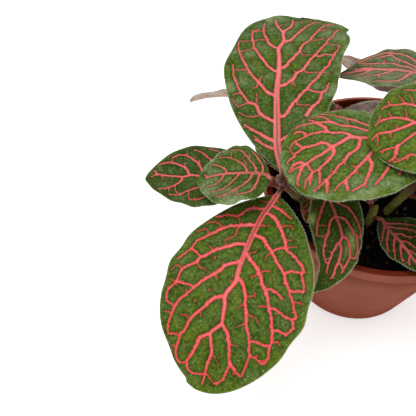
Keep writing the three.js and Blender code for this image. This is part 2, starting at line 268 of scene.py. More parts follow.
def mesh_piece(name, points, faces, material, replaced=(), smooth_faces=True,
               attributes=None):
    """A finished piece from points in millimetres and faces. A face array has a row of corners for
    each face, and several arrays may be given. Attributes are numbers for each point."""
    mesh = bpy.data.meshes.new(name)
    points = np.asarray(points, np.float64) * MM
    groups = [np.asarray(f, np.int32) for f in faces if len(f)]
    corners = np.concatenate([g.ravel() for g in groups])
    sizes = np.concatenate([np.full(len(g), g.shape[1], np.int32) for g in groups])
    starts = np.concatenate([[0], np.cumsum(sizes)[:-1]]).astype(np.int32)
    mesh.vertices.add(len(points))
    mesh.vertices.foreach_set("co", points.astype(np.float32).ravel())
    mesh.loops.add(len(corners))
    mesh.loops.foreach_set("vertex_index", corners)
    mesh.polygons.add(len(sizes))
    mesh.polygons.foreach_set("loop_start", starts)
    mesh.polygons.foreach_set("use_smooth", np.full(len(sizes), smooth_faces))
    mesh.update(calc_edges=True)
    mesh.validate()
    for key, values in (attributes or {}).items():
        layer = mesh.attributes.new(key, "FLOAT", "POINT")
        layer.data.foreach_set("value", np.asarray(values, np.float32).ravel())
    mesh.materials.append(material)
    piece = bpy.data.objects.new(name, mesh)
    bpy.context.scene.collection.objects.link(piece)
    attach(piece, BODY)
    if replaced:
        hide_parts(*replaced)
    return piece


def grid_faces(rows, columns, first=0, wrap=False):
    """Quads over a grid of points stored row by row, wrapped round its columns if wrap is true."""
    i = np.arange(rows - 1)[:, None] * columns
    j = np.arange(columns if wrap else columns - 1)[None, :]
    across = (j + 1) % columns
    quads = np.stack([i + j, i + across, i + columns + across, i + columns + j], -1)
    return first + quads.reshape(-1, 4)


def closed_rings(rings, first, last):
    """Points and faces of a skin through rings of points, closed at each end by a fan to a point."""
    count, sides = rings.shape[:2]
    j = np.arange(sides)
    following = (j + 1) % sides
    end = (count - 1) * sides
    foot = np.stack([np.full(sides, count * sides), following, j], -1)
    head = np.stack([np.full(sides, count * sides + 1), end + j, end + following], -1)
    points = np.vstack([rings.reshape(-1, 3), first, last])
    return points, [grid_faces(count, sides, wrap=True), foot, head]


def level_ring(radius, z, turn):
    """Points on a level circle about the pot's axis, or on several if radius and z are columns."""
    return np.stack([radius * np.cos(turn), radius * np.sin(turn), z + 0 * turn], -1)


# Stems

def direction(heading, pitch):
    """The direction with a heading on the ground and an angle above it, in degrees."""
    h, p = np.radians(heading), np.radians(pitch)
    return np.stack([np.cos(h) * np.cos(p), np.sin(h) * np.cos(p), np.sin(p) + 0 * h], -1)


def unit(v):
    """Each vector divided by its length."""
    return v / np.linalg.norm(v, axis=-1, keepdims=True)


def stem_point(shoot, f):
    """A quadratic curve: (1-f)^2 foot + 2f(1-f) bend + f^2 top."""
    f = np.asarray(f, float)[..., None]
    foot, bend, top = (np.array(shoot[k], float) for k in ("foot", "bend", "top"))
    return (1 - f) ** 2 * foot + 2 * f * (1 - f) * bend + f ** 2 * top


def stem_along(shoot, f):
    """The direction of that curve: (1-f)(bend - foot) + f(top - bend), made one long."""
    f = np.asarray(f, float)[..., None]
    foot, bend, top = (np.array(shoot[k], float) for k in ("foot", "bend", "top"))
    return unit((1 - f) * (bend - foot) + f * (top - bend))


def stem_radius(shoot, f):
    """A taper from foot to top, with a swelling where each pair of leaves grows."""
    nodes = np.array([leaf["node"] for leaf in shoot["leaves"].values()])
    swell = np.exp(-((np.asarray(f, float)[..., None] - nodes) / NODE_SPREAD) ** 2).max(-1)
    return mix(STEM_FOOT, STEM_TOP, f) + NODE_SWELL * swell


# Leaves

def half_width(leaf, t):
    """Half the blade's width at a fraction t: a sine arch whose top is moved to the widest point,
    raised to one power towards the base and to another towards the tip."""
    t = np.clip(t, 0, 1)
    lean = np.log(0.5) / np.log(leaf["widest"])
    arch = np.maximum(np.sin(np.pi * t ** lean), 0)
    power = np.where(t < leaf["widest"], leaf["base"], leaf["tip"])
    return np.maximum(mix(PETIOLE_RADIUS, TIP_HALF, t), leaf["width"] / 2 * arch ** power)


def leaf_line(shoot, leaf, u):
    """Points of a leaf's petiole and midrib at the distances u past the blade's start, with the
    directions to its right and up out of its face. Over the petiole the pitch goes evenly from rise
    to pitch, over the blade it falls by arch and the heading turns by sweep, and the points are the
    running sum of the direction."""
    def angles(v):
        on_blade = np.maximum(v, 0) / leaf["length"]
        on_petiole = np.clip(-v / leaf["petiole"], 0, 1)
        pitch = leaf["pitch"] + (leaf["rise"] - leaf["pitch"]) * on_petiole - leaf["arch"] * on_blade
        return leaf["heading"] + leaf["sweep"] * on_blade, pitch

    axis = stem_along(shoot, leaf["node"])
    away = direction(leaf["heading"], 0)
    away = unit(away - away @ axis * axis)
    slant = np.sqrt(1 - (direction(leaf["heading"], leaf["rise"]) @ away) ** 2)
    reach = stem_radius(shoot, leaf["node"]) + CLEAR + PETIOLE_RADIUS * slant
    start = stem_point(shoot, leaf["node"]) + away * reach
    before = -leaf["petiole"] - ROOTED
    v = np.linspace(before, leaf["length"], 500)
    step = v[1] - v[0]
    run = np.vstack([np.zeros(3), np.cumsum(direction(*angles(v[:-1] + step / 2)) * step, 0)])
    path = np.stack([np.interp(u, v, run[:, k]) for k in range(3)], -1)
    root = np.array([np.interp(-leaf["petiole"], v, run[:, k]) for k in range(3)])
    heading, pitch = angles(u)
    h = np.radians(heading)
    level = np.stack([np.sin(h), -np.cos(h), 0 * h], -1)
    over = np.cross(level, direction(heading, pitch))
    turn = np.radians(leaf["roll"])
    right = np.cos(turn) * level + np.sin(turn) * over
    up = np.cos(turn) * over - np.sin(turn) * level
    return start + path - root, right, up


def stations(leaf, spacing):
    """Fractions along the blade, evenly spaced but closer together at its two round ends."""
    ends, tail = 0.06, 0.09
    count = int(round(leaf["length"] / spacing))
    first = ends * np.linspace(0, 1, int(2 * ends * count) + 2) ** 2
    last = 1 - tail * np.linspace(1, 0, int(2 * tail * count) + 3) ** 2
    middle = np.linspace(ends, 1 - tail, int((1 - ends - tail) * count) + 1)
    return np.concatenate([first, middle[1:-1], last])


# The veins of the leaves that show best, in tenths of the blade's length and of its half width to
# the right of a traveller from base to tip. Side veins start at the midrib or at another side vein,
# joins cross from one to the next, and fine veins join them or end free. Thick is a factor on the
# width of all the veins, and rib one on the midrib's.
VEINS = {
    "left_front": dict(
        midrib=[(0, 0), (0.8, 0.7), (1.3, 1.1), (2.1, 1.0), (3.0, 0.8), (3.9, 0.6), (4.4, 0.4),
                (4.8, 0.2), (5.1, 0.4), (5.4, 0.7), (5.7, 0.7), (6.0, 0.3), (6.4, 0), (6.8, -0.3),
                (7.0, 0), (7.4, 0.8), (7.6, 0.5), (7.9, 0), (8.2, -0.6), (8.75, -0.7),
                (9.0, -0.9), (9.4, -1.5), (9.65, -2)],
        side=[
            [(1.0, 1.3), (1.1, 4.4), (1.3, 5.5), (1.6, 5.6), (1.8, 5.8), (1.85, 6.6), (1.9, 7.8),
             (2.1, 8.6), (2.2, 9.0)],
            [(1.85, 1.0), (2.0, 2.5), (2.2, 3.9), (2.4, 5.2), (2.7, 6.2), (3.0, 6.75), (3.4, 7.5),
             (3.65, 8.0), (4.1, 8.05), (4.45, 8.5), (4.8, 8.9)],
            [(3.0, 0.8), (3.05, 2.0), (3.2, 2.8), (3.45, 3.8), (3.85, 4.9), (4.15, 5.5), (4.35, 6.1),
             (4.6, 6.2), (4.9, 7.0), (5.25, 7.75), (5.8, 7.8), (5.9, 7.9), (6.3, 8.65), (6.7, 8.75),
             (6.85, 8.6), (6.9, 8.0), (6.9, 7.0)],
            [(3.8, 0.6), (3.9, 0.9), (4.15, 2.0), (4.35, 2.5), (4.6, 2.8), (4.85, 3.2), (5.2, 4.0),
             (5.5, 4.6), (5.8, 5.1), (6.2, 5.8), (6.5, 6.5), (6.8, 6.95), (7.35, 7.55), (7.85, 8.2),
             (8.1, 8.25), (8.2, 8.0), (8.1, 6.9), (8.1, 5.9)],
            [(5.6, 0.7), (5.7, 1.1), (5.85, 1.9), (6.05, 2.3), (6.3, 2.65), (6.7, 3.35), (6.9, 3.8),
             (7.15, 4.3), (7.4, 4.6), (7.8, 5.1), (8.05, 5.75), (8.35, 6.05), (8.6, 6.55),
             (8.9, 7.0), (9.1, 7.0), (9.2, 6.4), (9.1, 4.8)],
            [(7.45, 0.8), (7.6, 1.5), (7.8, 2.2), (7.95, 2.35), (8.25, 2.6), (8.5, 2.9), (8.75, 3.5),
             (9.0, 4.2), (9.2, 4.4), (9.35, 4.0), (9.4, 2.6), (9.3, 0.2), (9.2, -1.1)],
            [(0.6, 0.6), (0.7, -0.6), (0.76, -2.9), (0.83, -4.6), (0.96, -6.0), (1.1, -7.6)],
            [(1.1, 0.6), (1.25, -1.7), (1.35, -2.7), (1.5, -3.35), (1.7, -3.95), (1.85, -4.45),
             (2.1, -4.95), (2.3, -5.3), (2.5, -5.4), (2.65, -5.5), (2.85, -6.9), (3.1, -8.0),
             (3.25, -8.4), (3.4, -8.5), (3.5, -8.2), (3.75, -8.5), (3.9, -8.7), (4.2, -8.8)],
            [(2.4, 0.6), (2.42, -0.5), (2.45, -1.2), (2.55, -1.7), (2.7, -2.15), (2.85, -2.75),
             (3.0, -3.35), (3.15, -3.85), (3.35, -4.4), (3.6, -5.3), (3.8, -5.85), (4.0, -6.1),
             (4.2, -6.6), (4.35, -7.0), (4.6, -7.4), (4.8, -7.8), (5.15, -8.5), (5.3, -8.9),
             (5.4, -8.8), (5.5, -8.5)],
            [(3.4, 0.5), (3.6, -0.4), (3.75, -1.2), (3.9, -1.85), (4.1, -2.35), (4.25, -2.9),
             (4.5, -3.3), (4.65, -3.8), (4.85, -4.3), (5.1, -4.85), (5.35, -5.25), (5.55, -5.7),
             (5.8, -6.2), (6.05, -6.6), (6.25, -7.0), (6.5, -7.4), (6.7, -7.75), (6.95, -7.9),
             (7.15, -8.3), (7.4, -8.8), (7.65, -8.8), (7.7, -8.6), (7.6, -7.2), (7.6, -6.3)],
            [(4.6, 0.2), (4.8, -0.85), (5.05, -1.4), (5.3, -1.9), (5.65, -2.3), (5.95, -2.85),
             (6.3, -3.35), (6.55, -3.8), (6.8, -4.45), (7.05, -5.05), (7.4, -5.75), (7.6, -6.3),
             (8.05, -6.9), (8.35, -7.4), (8.55, -7.8)],
            [(6.8, -0.3), (7.0, -1.1), (7.15, -1.8), (7.35, -2.1), (7.5, -2.6), (7.75, -3.1),
             (8.0, -3.45), (8.25, -4.3), (8.6, -4.8), (8.9, -5.4), (9.1, -5.7), (9.35, -5.5),
             (9.4, -4.9)],
            [(8.25, -4.3), (8.45, -5.9), (8.6, -7.7)],
        ],
        joins=[
            [(5.9, 7.9), (5.8, 7.3), (5.8, 6.7), (5.75, 5.9), (5.8, 5.2)],
            [(3.0, -3.3), (2.75, -4.2), (2.65, -5.0), (2.6, -5.5)],
            [(3.75, -5.7), (3.55, -6.6), (3.5, -7.4), (3.45, -8.2)],
            [(4.4, -7.1), (4.3, -7.8), (4.2, -8.8)],
            [(4.7, -4.1), (4.6, -4.6), (4.65, -5.2), (4.7, -5.8), (4.8, -6.4)],
            [(5.4, -5.4), (5.35, -6.1), (5.4, -6.7), (5.5, -7.6), (5.5, -8.5)],
            [(6.25, -7.0), (6.15, -7.7), (6.2, -8.8)],
            [(5.5, -8.5), (5.6, -8.8), (5.8, -9.1), (5.95, -9.1), (6.15, -8.8)],
            [(7.05, -5.05), (6.95, -6.1), (6.95, -6.9), (6.9, -7.7)],
            [(4.1, 8.0), (4.15, 7.2), (4.3, 6.2)],
        ],
        fine=[
            [(1.8, 5.8), (1.95, 4.8), (2.2, 4.0)],
            [(2.6, 6.1), (2.45, 7.7), (2.55, 8.9), (2.7, 9.1)],
            [(3.1, 7.2), (2.95, 8.1), (3.05, 8.7), (3.2, 9.1)],
            [(2.2, 4.0), (2.4, 3.9), (2.7, 3.5), (2.95, 3.9), (3.15, 4.4), (3.35, 3.7)],
            [(3.85, 4.9), (3.65, 6.0)], [(4.65, 6.1), (4.8, 5.4), (4.8, 4.7), (4.95, 3.5)],
            [(5.15, 7.8), (5.1, 8.6), (5.25, 9.0), (5.45, 9.2)], [(5.85, 7.9), (5.85, 9.0)],
            [(4.35, 2.4), (4.15, 3.0)], [(4.85, 3.1), (5.1, 2.5)], [(4.1, 4.3), (4.2, 4.15)],
            [(5.6, 3.0), (5.7, 2.9)], [(6.3, 4.4), (6.4, 4.4)], [(7.25, 7.5), (7.35, 8.9)],
            [(6.7, 3.3), (6.9, 2.8)], [(7.2, 4.3), (7.1, 5.2), (7.2, 6.0)], [(6.2, 5.8), (6.0, 6.1)],
            [(8.7, 6.7), (8.6, 7.7)], [(8.2, -0.6), (8.3, -1.2), (8.55, -2.8)],
            [(9.1, -1.0), (9.25, -2.6), (9.4, -5.0)], [(7.5, -2.6), (7.45, -3.9)],
            [(6.4, -3.4), (6.7, -2.5)], [(5.55, -2.2), (5.9, -1.6)],
            [(5.3, -2.0), (5.15, -2.9)], [(5.0, -2.9), (5.2, -3.15)],
            [(6.05, -3.0), (6.0, -3.9), (6.1, -4.7), (6.2, -5.0)],
            [(5.35, -5.1), (5.45, -4.4), (5.5, -3.9)],
            [(4.15, -2.4), (4.3, -1.9), (4.4, -1.6)],
            [(4.2, -2.8), (4.0, -2.75), (3.9, -3.3), (3.85, -3.9)],
            [(6.7, -7.7), (6.6, -8.4), (6.7, -9.0)], [(3.4, 0.3), (3.25, -0.5), (3.1, -0.95)],
            [(3.05, -3.2), (3.25, -2.7), (3.45, -2.65)],
            [(2.6, -5.6), (2.45, -6.6), (2.4, -7.4)], [(4.8, -7.8), (4.7, -8.6), (4.7, -9.2)],
            [(1.7, -4.0), (1.6, -4.9), (1.5, -5.8), (1.5, -6.8), (1.6, -7.5)],
            [(2.25, -5.3), (2.15, -6.6)], [(1.85, 0.6), (1.8, -0.8), (1.75, -1.6)],
            [(0.8, -4.0), (0.7, -5.2)], [(0.35, 0), (0.45, -4.5)],
            [(0.55, 0.6), (0.6, 3.5), (0.65, 6.3)], [(4.95, 0.5), (4.8, 1.05)],
        ]),
    "left_back": dict(
        midrib=[(0, 0), (0.5, -1.0), (1, -1.5), (2, -1.0), (3, -0.9), (4, -0.9), (5, -0.8),
                (6, -1.1), (6.6, -1.5), (7.3, -1.0), (8.1, -1.7), (8.7, -0.8), (9.2, -0.9),
                (9.6, -1.5)],
        side=[
            [(0.9, -1.6), (1.1, -5.5), (1.4, -8.4)],
            [(1.2, -1.4), (1.6, -5.5), (1.9, -7.8), (2.1, -8.9)],
            [(2.2, -1.0), (2.6, -4.2), (3.1, -5.0), (3.2, -6.2), (3.7, -7.2), (4.4, -8.0),
             (5.3, -8.4)],
            [(3.6, -1.0), (3.8, -2.5), (4.3, -4.0), (4.8, -5.4), (5.3, -6.3), (6.1, -7.7),
             (6.9, -8.7)],
            [(5.0, -0.8), (5.2, -2.2), (5.8, -3.9), (6.5, -5.5), (7.2, -6.6), (7.9, -7.6)],
            [(6.6, -1.4), (6.8, -2.9), (7.4, -4.4), (8.0, -5.6), (8.7, -6.8)],
            [(8.1, -1.7), (8.5, -3.4), (8.9, -4.6), (9.3, -6)],
            [(1.3, -1.0), (1.5, 1.5), (1.7, 3.2), (2.2, 5.6)],
            [(2.55, -0.6), (2.6, 0.7), (2.8, 1.35), (3.0, 1.85), (3.2, 2.1), (3.4, 2.7), (3.7, 3.25),
             (3.9, 3.75), (4.1, 4.3), (4.3, 4.5), (4.55, 5.0), (4.8, 5.6), (5.05, 5.85), (5.3, 6.2),
             (5.5, 6.5), (5.75, 7.1), (6.05, 7.2), (6.3, 7.6), (6.65, 7.9), (7.0, 8.5), (7.5, 9.1)],
            [(4.2, -0.8), (4.3, 0.3), (4.6, 1.45), (4.7, 1.75), (4.9, 1.95), (5.05, 2.1), (5.2, 2.7),
             (5.35, 3.1), (5.55, 3.4), (5.8, 3.7), (6.05, 4.05), (6.25, 4.5), (6.65, 5.2), (7.0, 5.75),
             (7.35, 6.4), (7.65, 6.8), (7.95, 7.5), (8.2, 8.3), (8.7, 9.4), (9.2, 11.9)],
            [(5.3, -0.8), (5.4, 0), (5.55, 0.35), (5.8, 0.6), (6.0, 1.1), (6.35, 1.65), (6.55, 2.15),
             (6.8, 2.2), (7.15, 2.55), (7.45, 3.4), (7.85, 4.0), (8.3, 4.9), (8.75, 5.95), (9.15, 7.4),
             (9.5, 10.5), (9.65, 14)],
            [(7.2, -1.0), (7.4, -0.3), (7.5, 0.2), (7.9, 0.75), (8.2, 1.3), (8.6, 2.1), (9.1, 3.4),
             (9.5, 6.0), (9.7, 9.5)],
            [(2.6, 5.5), (2.9, 5.8), (3.1, 6.2), (3.3, 6.8), (3.55, 6.95), (3.9, 6.95), (4.0, 7.35),
             (4.25, 7.5), (4.5, 7.55)],
        ],
        joins=[
            [(4.05, 4.2), (3.95, 5.1), (3.9, 6.2), (3.9, 6.9)],
            [(6.4, 4.7), (6.3, 5.2), (6.35, 5.7), (6.5, 6.3), (6.55, 7.4), (6.55, 7.9)],
        ],
        fine=[
            [(2.6, -4.3), (2.5, -5.8), (2.5, -7.3), (2.7, -8.9)], [(3.2, -6.3), (3.0, -8.5), (3.4, -9.2)],
            [(3.1, -5.0), (3.4, -4.6), (3.7, -4.5)], [(3.7, -7.3), (3.6, -8.8)],
            [(5.0, -6.2), (5.0, -8.4)], [(6.2, -7.7), (6.4, -5.4)], [(7.0, -8.7), (7.0, -6.3)],
            [(4.3, -4.0), (4.7, -3.6)], [(7.8, -7.4), (7.9, -5.6)], [(1.3, -7.0), (1.6, -8.2)],
            [(3.3, 2.9), (3.15, 3.2), (3.15, 5.1), (3.05, 5.9)],
            [(5.3, 3.0), (5.1, 3.7), (5.1, 4.5), (5.15, 5.5), (5.2, 6.6), (5.15, 7.5)],
            [(6.55, 2.2), (6.35, 2.65), (6.35, 3.5), (6.3, 4.3)],
            [(7.7, 3.7), (7.55, 4.3), (7.65, 5.0), (7.8, 5.9), (7.95, 6.6)],
            [(7.4, 6.5), (7.45, 7.2), (7.5, 8.2), (7.45, 9.0)],
            [(8.6, 5.7), (8.65, 6.5), (8.8, 7.4), (9.0, 8.7), (8.95, 9.6)],
            [(5.0, 2.0), (5.2, 1.6)], [(8.5, -3.4), (8.9, -3.0)], [(4.5, 1.6), (4.2, 2.2)],
            [(9.2, -0.9), (9.5, 1.0), (9.75, 6)], [(7.0, -6.2), (7.15, -4.8), (7.2, -3.8)],
            [(4.25, -4.1), (4.05, -4.4), (3.95, -5.0)], [(7.7, -7.3), (8.15, -6.6)],
        ], rib=1.4),
    "tall_left": dict(
        midrib=[(0, 0), (2, 0.8), (3.5, 1.6), (4.3, 1.95), (4.7, 2.15), (5.1, 2.5), (5.4, 2.6),
                (5.95, 2.1), (6.35, 1.9), (6.6, 1.8), (7.0, 1.5), (7.4, 1.2), (7.8, 1.15),
                (8.1, 1.0), (8.5, 0.8), (8.75, 0.75), (9.0, 0.9), (9.35, 1.2), (9.7, 1.3)],
        side=[
            [(2.2, 1.5), (3.0, 3.8), (3.75, 5.3), (4.0, 5.8), (4.3, 6.6), (4.6, 7.1), (5.0, 8.0),
             (5.3, 8.8), (5.65, 9.3), (6.0, 9.5)],
            [(3.0, 1.2), (3.5, 2.8), (4.0, 3.8), (4.25, 4.1), (4.6, 4.8), (5.0, 5.3), (5.25, 5.4),
             (5.45, 6.0), (5.65, 6.7), (5.8, 7.3), (5.85, 7.9), (5.95, 8.5), (6.15, 9.1), (6.6, 9.6)],
            [(5.0, 2.5), (5.2, 3.1), (5.3, 3.6), (5.65, 4.15), (6.05, 4.5), (6.45, 5.2), (6.8, 5.7),
             (7.25, 6.1), (7.65, 6.3), (8.05, 6.7), (8.4, 7.2), (8.65, 7.2), (8.9, 6.9)],
            [(6.55, 1.8), (6.7, 2.2), (6.8, 2.9), (7.0, 3.35), (7.25, 3.5), (7.7, 3.75),
             (8.05, 4.3), (8.2, 4.3), (8.55, 4.4), (8.75, 4.6), (8.95, 4.3), (9.15, 4.4),
             (9.35, 4.8), (9.5, 4.7)],
            [(5.65, 6.7), (6.05, 7.2), (6.4, 7.5), (6.6, 7.9), (6.95, 8.3), (7.3, 8.8), (7.6, 9.2),
             (7.9, 9.4)],
            [(6.35, 5.15), (6.3, 6.1), (6.45, 6.8), (6.6, 7.5), (6.7, 8.6), (6.9, 9.5)],
            [(8.65, 0.8), (8.8, 1.9), (9.0, 2.2), (9.2, 2.5), (9.45, 2.3), (9.7, 2.0)],
            [(6.55, 1.8), (6.65, 1.0), (6.85, 0.3), (7.15, -0.2), (7.4, -0.65), (7.75, -1.1),
             (8.05, -1.6), (8.35, -1.9), (8.6, -2.15), (8.9, -3.0), (9.2, -4.2), (9.5, -6.8)],
            [(8.6, -2.2), (8.75, -2.9), (8.9, -3.7), (9.1, -5.6)],
            [(4.75, 1.9), (5.0, 0.8), (5.2, 0.3), (5.5, -0.2), (5.85, -0.5), (6.15, -1.0),
             (6.4, -1.6), (6.8, -2.15), (7.05, -2.6), (7.4, -3.4), (7.75, -4.1), (8.0, -4.6),
             (8.3, -5.3), (8.65, -6.1), (9.1, -7.6)],
            [(8.1, -4.8), (8.2, -5.9), (8.4, -7.1), (8.5, -8.1)],
            [(3.6, 1.0), (4.3, -0.8), (5.0, -2.15), (5.35, -2.8), (5.6, -3.2), (5.95, -3.7),
             (6.25, -4.35), (6.5, -4.7), (6.9, -5.3), (7.15, -5.8), (7.4, -6.1), (7.75, -6.75),
             (8.05, -7.7)],
            [(5.0, -2.15), (5.1, -3.5), (5.2, -4.2), (5.4, -4.95), (5.7, -5.75), (5.95, -6.5),
             (6.25, -7.2), (6.55, -7.45), (6.85, -7.75), (7.1, -8.1)],
            [(7.1, -5.7), (7.2, -6.4), (7.3, -7.3), (7.4, -7.9)],
            [(2.6, 0.4), (3.4, -3.0), (4.2, -5.2), (4.9, -6.6), (5.2, -7.05), (5.55, -7.55),
             (5.7, -7.8)],
            [(8.8, 0.8), (9.05, 0), (9.3, -1.3), (9.5, -2.7), (9.7, -5)],
            [(1.6, 0.3), (2.4, -3.0), (3.2, -5.8), (4.0, -7.6)],
        ],
        joins=[
            [(7.65, 6.4), (7.6, 7.1), (7.8, 8.1), (7.95, 8.6), (8.15, 8.7)],
            [(8.1, -1.7), (8.2, -2.8), (8.4, -4.2), (8.55, -5.3)],
            [(8.35, 7.1), (8.35, 6.1), (8.25, 5.0), (8.2, 4.4)],
            [(8.5, 0.7), (8.55, -0.6), (8.5, -1.9)],
        ],
        fine=[
            [(4.7, 6.8), (4.85, 5.9), (4.9, 5.4)], [(8.85, 4.5), (8.9, 5.3), (8.9, 6.1), (9.1, 6.6)],
            [(6.45, -1.8), (6.55, -2.7)], [(7.3, -3.6), (7.6, -2.7)], [(6.3, -4.4), (6.2, -5.2)],
            [(6.25, -7.2), (6.25, -8.0)], [(8.65, -6.0), (8.8, -7.3)], [(6.9, 0.1), (7.5, 0.1)],
            [(6.05, -3.8), (6.3, -3.0)],
        ], thick=1.12),
    "tall_left_top": dict(
        midrib=[(0, 0), (4, 0.6), (6, 1.3), (7, 1.0), (8, 0.9), (8.7, 1.5), (9.2, 2.2), (9.7, 1.5)],
        side=[
            [(5.6, 1.0), (6.1, 1.3), (6.6, 2.5), (7.5, 3.8), (8.2, 4.8), (8.7, 5.6), (9.1, 5.6)],
            [(3.8, 0.5), (4.6, 3.2), (5.5, 4.6), (6.3, 5.8), (6.9, 6.3), (7.5, 7.2), (8.1, 7.8)],
            [(2.4, 0.4), (3.2, 4.2), (3.9, 6.3), (5.0, 8.1), (5.8, 8.8)],
            [(1.2, 0.2), (1.9, 4.5), (2.8, 7.6), (3.8, 8.9)],
            [(5.2, 1.0), (5.9, 0.3), (6.4, -0.7), (7.3, -2.0), (8.1, -3.2), (8.9, -4.0),
             (9.4, -5.2)],
            [(3.9, 0.6), (5.0, -2.5), (5.8, -4.4), (6.4, -5.3), (7.0, -6.0), (7.5, -5.6),
             (8.1, -6.8), (8.8, -8.4)],
            [(2.6, 0.4), (3.4, -3.0), (4.4, -5.8), (5.5, -7.8), (6.4, -8.8)],
            [(1.3, 0.2), (2.0, -3.6), (2.9, -6.6), (3.9, -8.4)],
            [(8.1, -3.2), (8.4, -5.1), (8.8, -7.4), (9.1, -8.5)],
        ],
        fine=[
            [(6.6, 2.6), (6.5, 3.6), (6.4, 4.7)], [(7.7, 4.1), (7.7, 5.1), (7.7, 5.9)],
            [(6.3, 6.2), (6.4, 7.5), (6.5, 8.3)], [(7.4, 7.3), (7.4, 8.5)],
            [(5.7, 5.2), (5.6, 6.5), (5.6, 7.4)], [(7.6, -5.7), (7.9, -7.2)],
            [(9.2, 2.2), (9.3, 0.0), (9.5, -2)], [(8.2, 0.7), (8.4, -0.8)], [(7.6, 1.0), (7.6, 2.2)],
            [(8.6, 6.0), (8.4, 7.2)], [(4.4, 3.4), (4.6, 1.4)], [(3.6, 5.6), (3.9, 4.0), (4.3, 3.2)],
        ], thick=1.2),
    "left_left_top": dict(
        midrib=[(0, 0.3), (1, 0.9), (2, 0.5), (3, 0.4), (4, 0.35), (5, 0.45), (5.7, 0.6), (7, 0.9),
                (8, 1.2), (8.6, 1.3)],
        side=[
            [(1.0, 1.0), (1.0, 5.0), (1.6, 8.0), (2.4, 9.3)],
            [(1.8, 0.6), (2.1, 3.7), (3.0, 6.3), (3.7, 8.2), (5.0, 8.4)],
            [(3.0, 0.5), (3.4, 2.9), (4.2, 4.4), (5.4, 5.7), (6.5, 6.3)],
            [(5.7, 0.8), (6.1, 2.5), (7.0, 4.2), (7.9, 5.8)],
            [(8.4, 1.3), (8.8, 3.5)],
            [(1.4, 0.3), (1.8, -3.6), (2.6, -6.0), (3.5, -6.3), (4.4, -6.2)],
            [(2.3, 0.2), (3.0, -2.6), (4.6, -4.5), (6.2, -6.2), (7.4, -7.6)],
            [(4.0, 0.2), (5.1, -2.2), (6.2, -4.2), (7.8, -5.9)],
            [(6.1, 0.5), (6.8, -1.6), (8.1, -3.4), (8.7, -4.6)],
        ],
        fine=[
            [(2.7, 6.4), (2.7, 8.8)], [(5.1, 5.8), (5.0, 8.2)], [(4.5, -4.7), (4.4, -6.3)],
            [(6.2, -4.3), (6.4, -6.4)], [(1.9, -3.8), (1.9, -6.8)], [(6.6, 6.2), (6.3, 7.4)],
            [(7.7, -5.8), (7.6, -7.4)], [(4.8, -4.8), (5.2, -6.8)], [(3.1, 3.0), (3.6, 5.8)],
        ], thick=0.85),
    "left_left": dict(
        midrib=[(0, 0), (2, 0.2), (4, -0.6), (5.2, -1.1), (6, -0.7), (6.8, -1.3), (7.5, -0.9),
                (8.3, -0.1), (9.0, 1.6), (9.5, 1.0)],
        side=[
            [(3.2, -0.3), (3.8, 2.0), (4.3, 3.5), (4.8, 5.2), (5.3, 6.8), (5.8, 7.7)],
            [(1.8, 0.2), (2.3, 3.6), (3.0, 6.0), (4.1, 7.6), (4.6, 8.0)],
            [(5.0, -0.9), (5.4, 2.7), (5.85, 4.1), (6.4, 5.8), (7.0, 6.9), (7.6, 6.8)],
            [(6.2, -0.7), (6.6, 2.1), (7.6, 4.6), (8.1, 5.7), (8.8, 7.4)],
            [(9.0, 1.6), (9.1, 5.0)],
            [(2.6, 0), (3.4, -4.0), (4.3, -6.8), (5.2, -8.4), (6.2, -8.9)],
            [(3.9, -0.6), (4.6, -3.0), (5.2, -4.6), (5.7, -5.2), (6.4, -6.4), (7.1, -7.9),
             (8.0, -9.2)],
            [(6.8, -1.4), (7.0, -3.0), (7.5, -4.8), (8.0, -6.1), (8.9, -8.6)],
            [(1.3, 0.1), (1.8, -4.0), (2.6, -7.4)],
        ],
        fine=[
            [(5.4, 2.8), (5.35, 4.3)], [(6.4, 5.8), (6.4, 7.8)], [(6.6, 2.2), (6.6, 3.9)],
            [(7.6, 4.7), (7.6, 6.6)], [(6.3, -6.4), (6.3, -8.8)],
            [(7.4, -4.7), (7.45, -6.6), (7.15, -7.8)], [(8.0, -6.1), (8.0, -9.0)],
            [(8.5, -0.3), (8.6, -3.0)], [(8.2, -6.6), (8.3, -7.6)],
        ], thick=0.9),
    "middle_front": dict(
        midrib=[(0, 0), (2, 3.0), (2.65, 3.0), (3.4, 1.9), (3.9, 1.75), (4.3, 0.85), (4.7, 0),
                (5.15, -0.75), (5.45, -1.35), (5.7, -1.25), (6.0, -1.05), (6.3, -2.2), (6.75, -3.0),
                (7.25, -3.8), (7.7, -4.1), (8.0, -5.1), (8.4, -6.3)],
        side=[
            [(3.9, 1.8), (4.2, 3.25), (4.65, 4.0), (5.1, 4.2), (5.5, 4.3), (5.95, 4.9), (6.5, 5.3),
             (6.85, 5.2), (7.15, 4.5), (7.5, 3.4), (7.65, 2.5), (7.55, 0.8)],
            [(1.8, 4.0), (2.75, 6.2), (3.5, 7.2), (4.15, 7.9), (4.65, 8.35), (5.2, 8.6), (5.8, 8.6),
             (5.65, 5.0)],
            [(6.0, -1.05), (6.1, 0), (6.5, 0.3), (6.85, 0.8), (7.2, 0.75), (7.6, 0.7), (7.95, 0.6),
             (8.3, -0.8)],
            [(3.9, 0.9), (3.95, -0.5), (4.05, -1.9), (4.3, -2.8), (4.55, -3.6), (4.8, -4.6),
             (5.05, -5.6), (5.15, -6.3), (5.45, -7.2), (5.8, -8.2), (6.2, -9.2), (6.55, -9.6),
             (6.7, -9.3), (6.7, -7.6)],
            [(2.0, 1.8), (2.6, 0.0), (3.2, -3.7), (3.9, -5.7), (4.5, -7.2), (5.2, -8.2),
             (5.15, -6.2)],
            [(5.45, -1.35), (5.5, -2.7), (5.65, -4.0), (5.95, -5.05), (6.45, -6.5), (6.75, -7.5),
             (7.05, -7.8), (7.4, -8.1), (7.65, -8.5), (7.9, -9.2)],
            [(1.0, 0.8), (1.7, -3.6), (2.4, -6.4)],
        ],
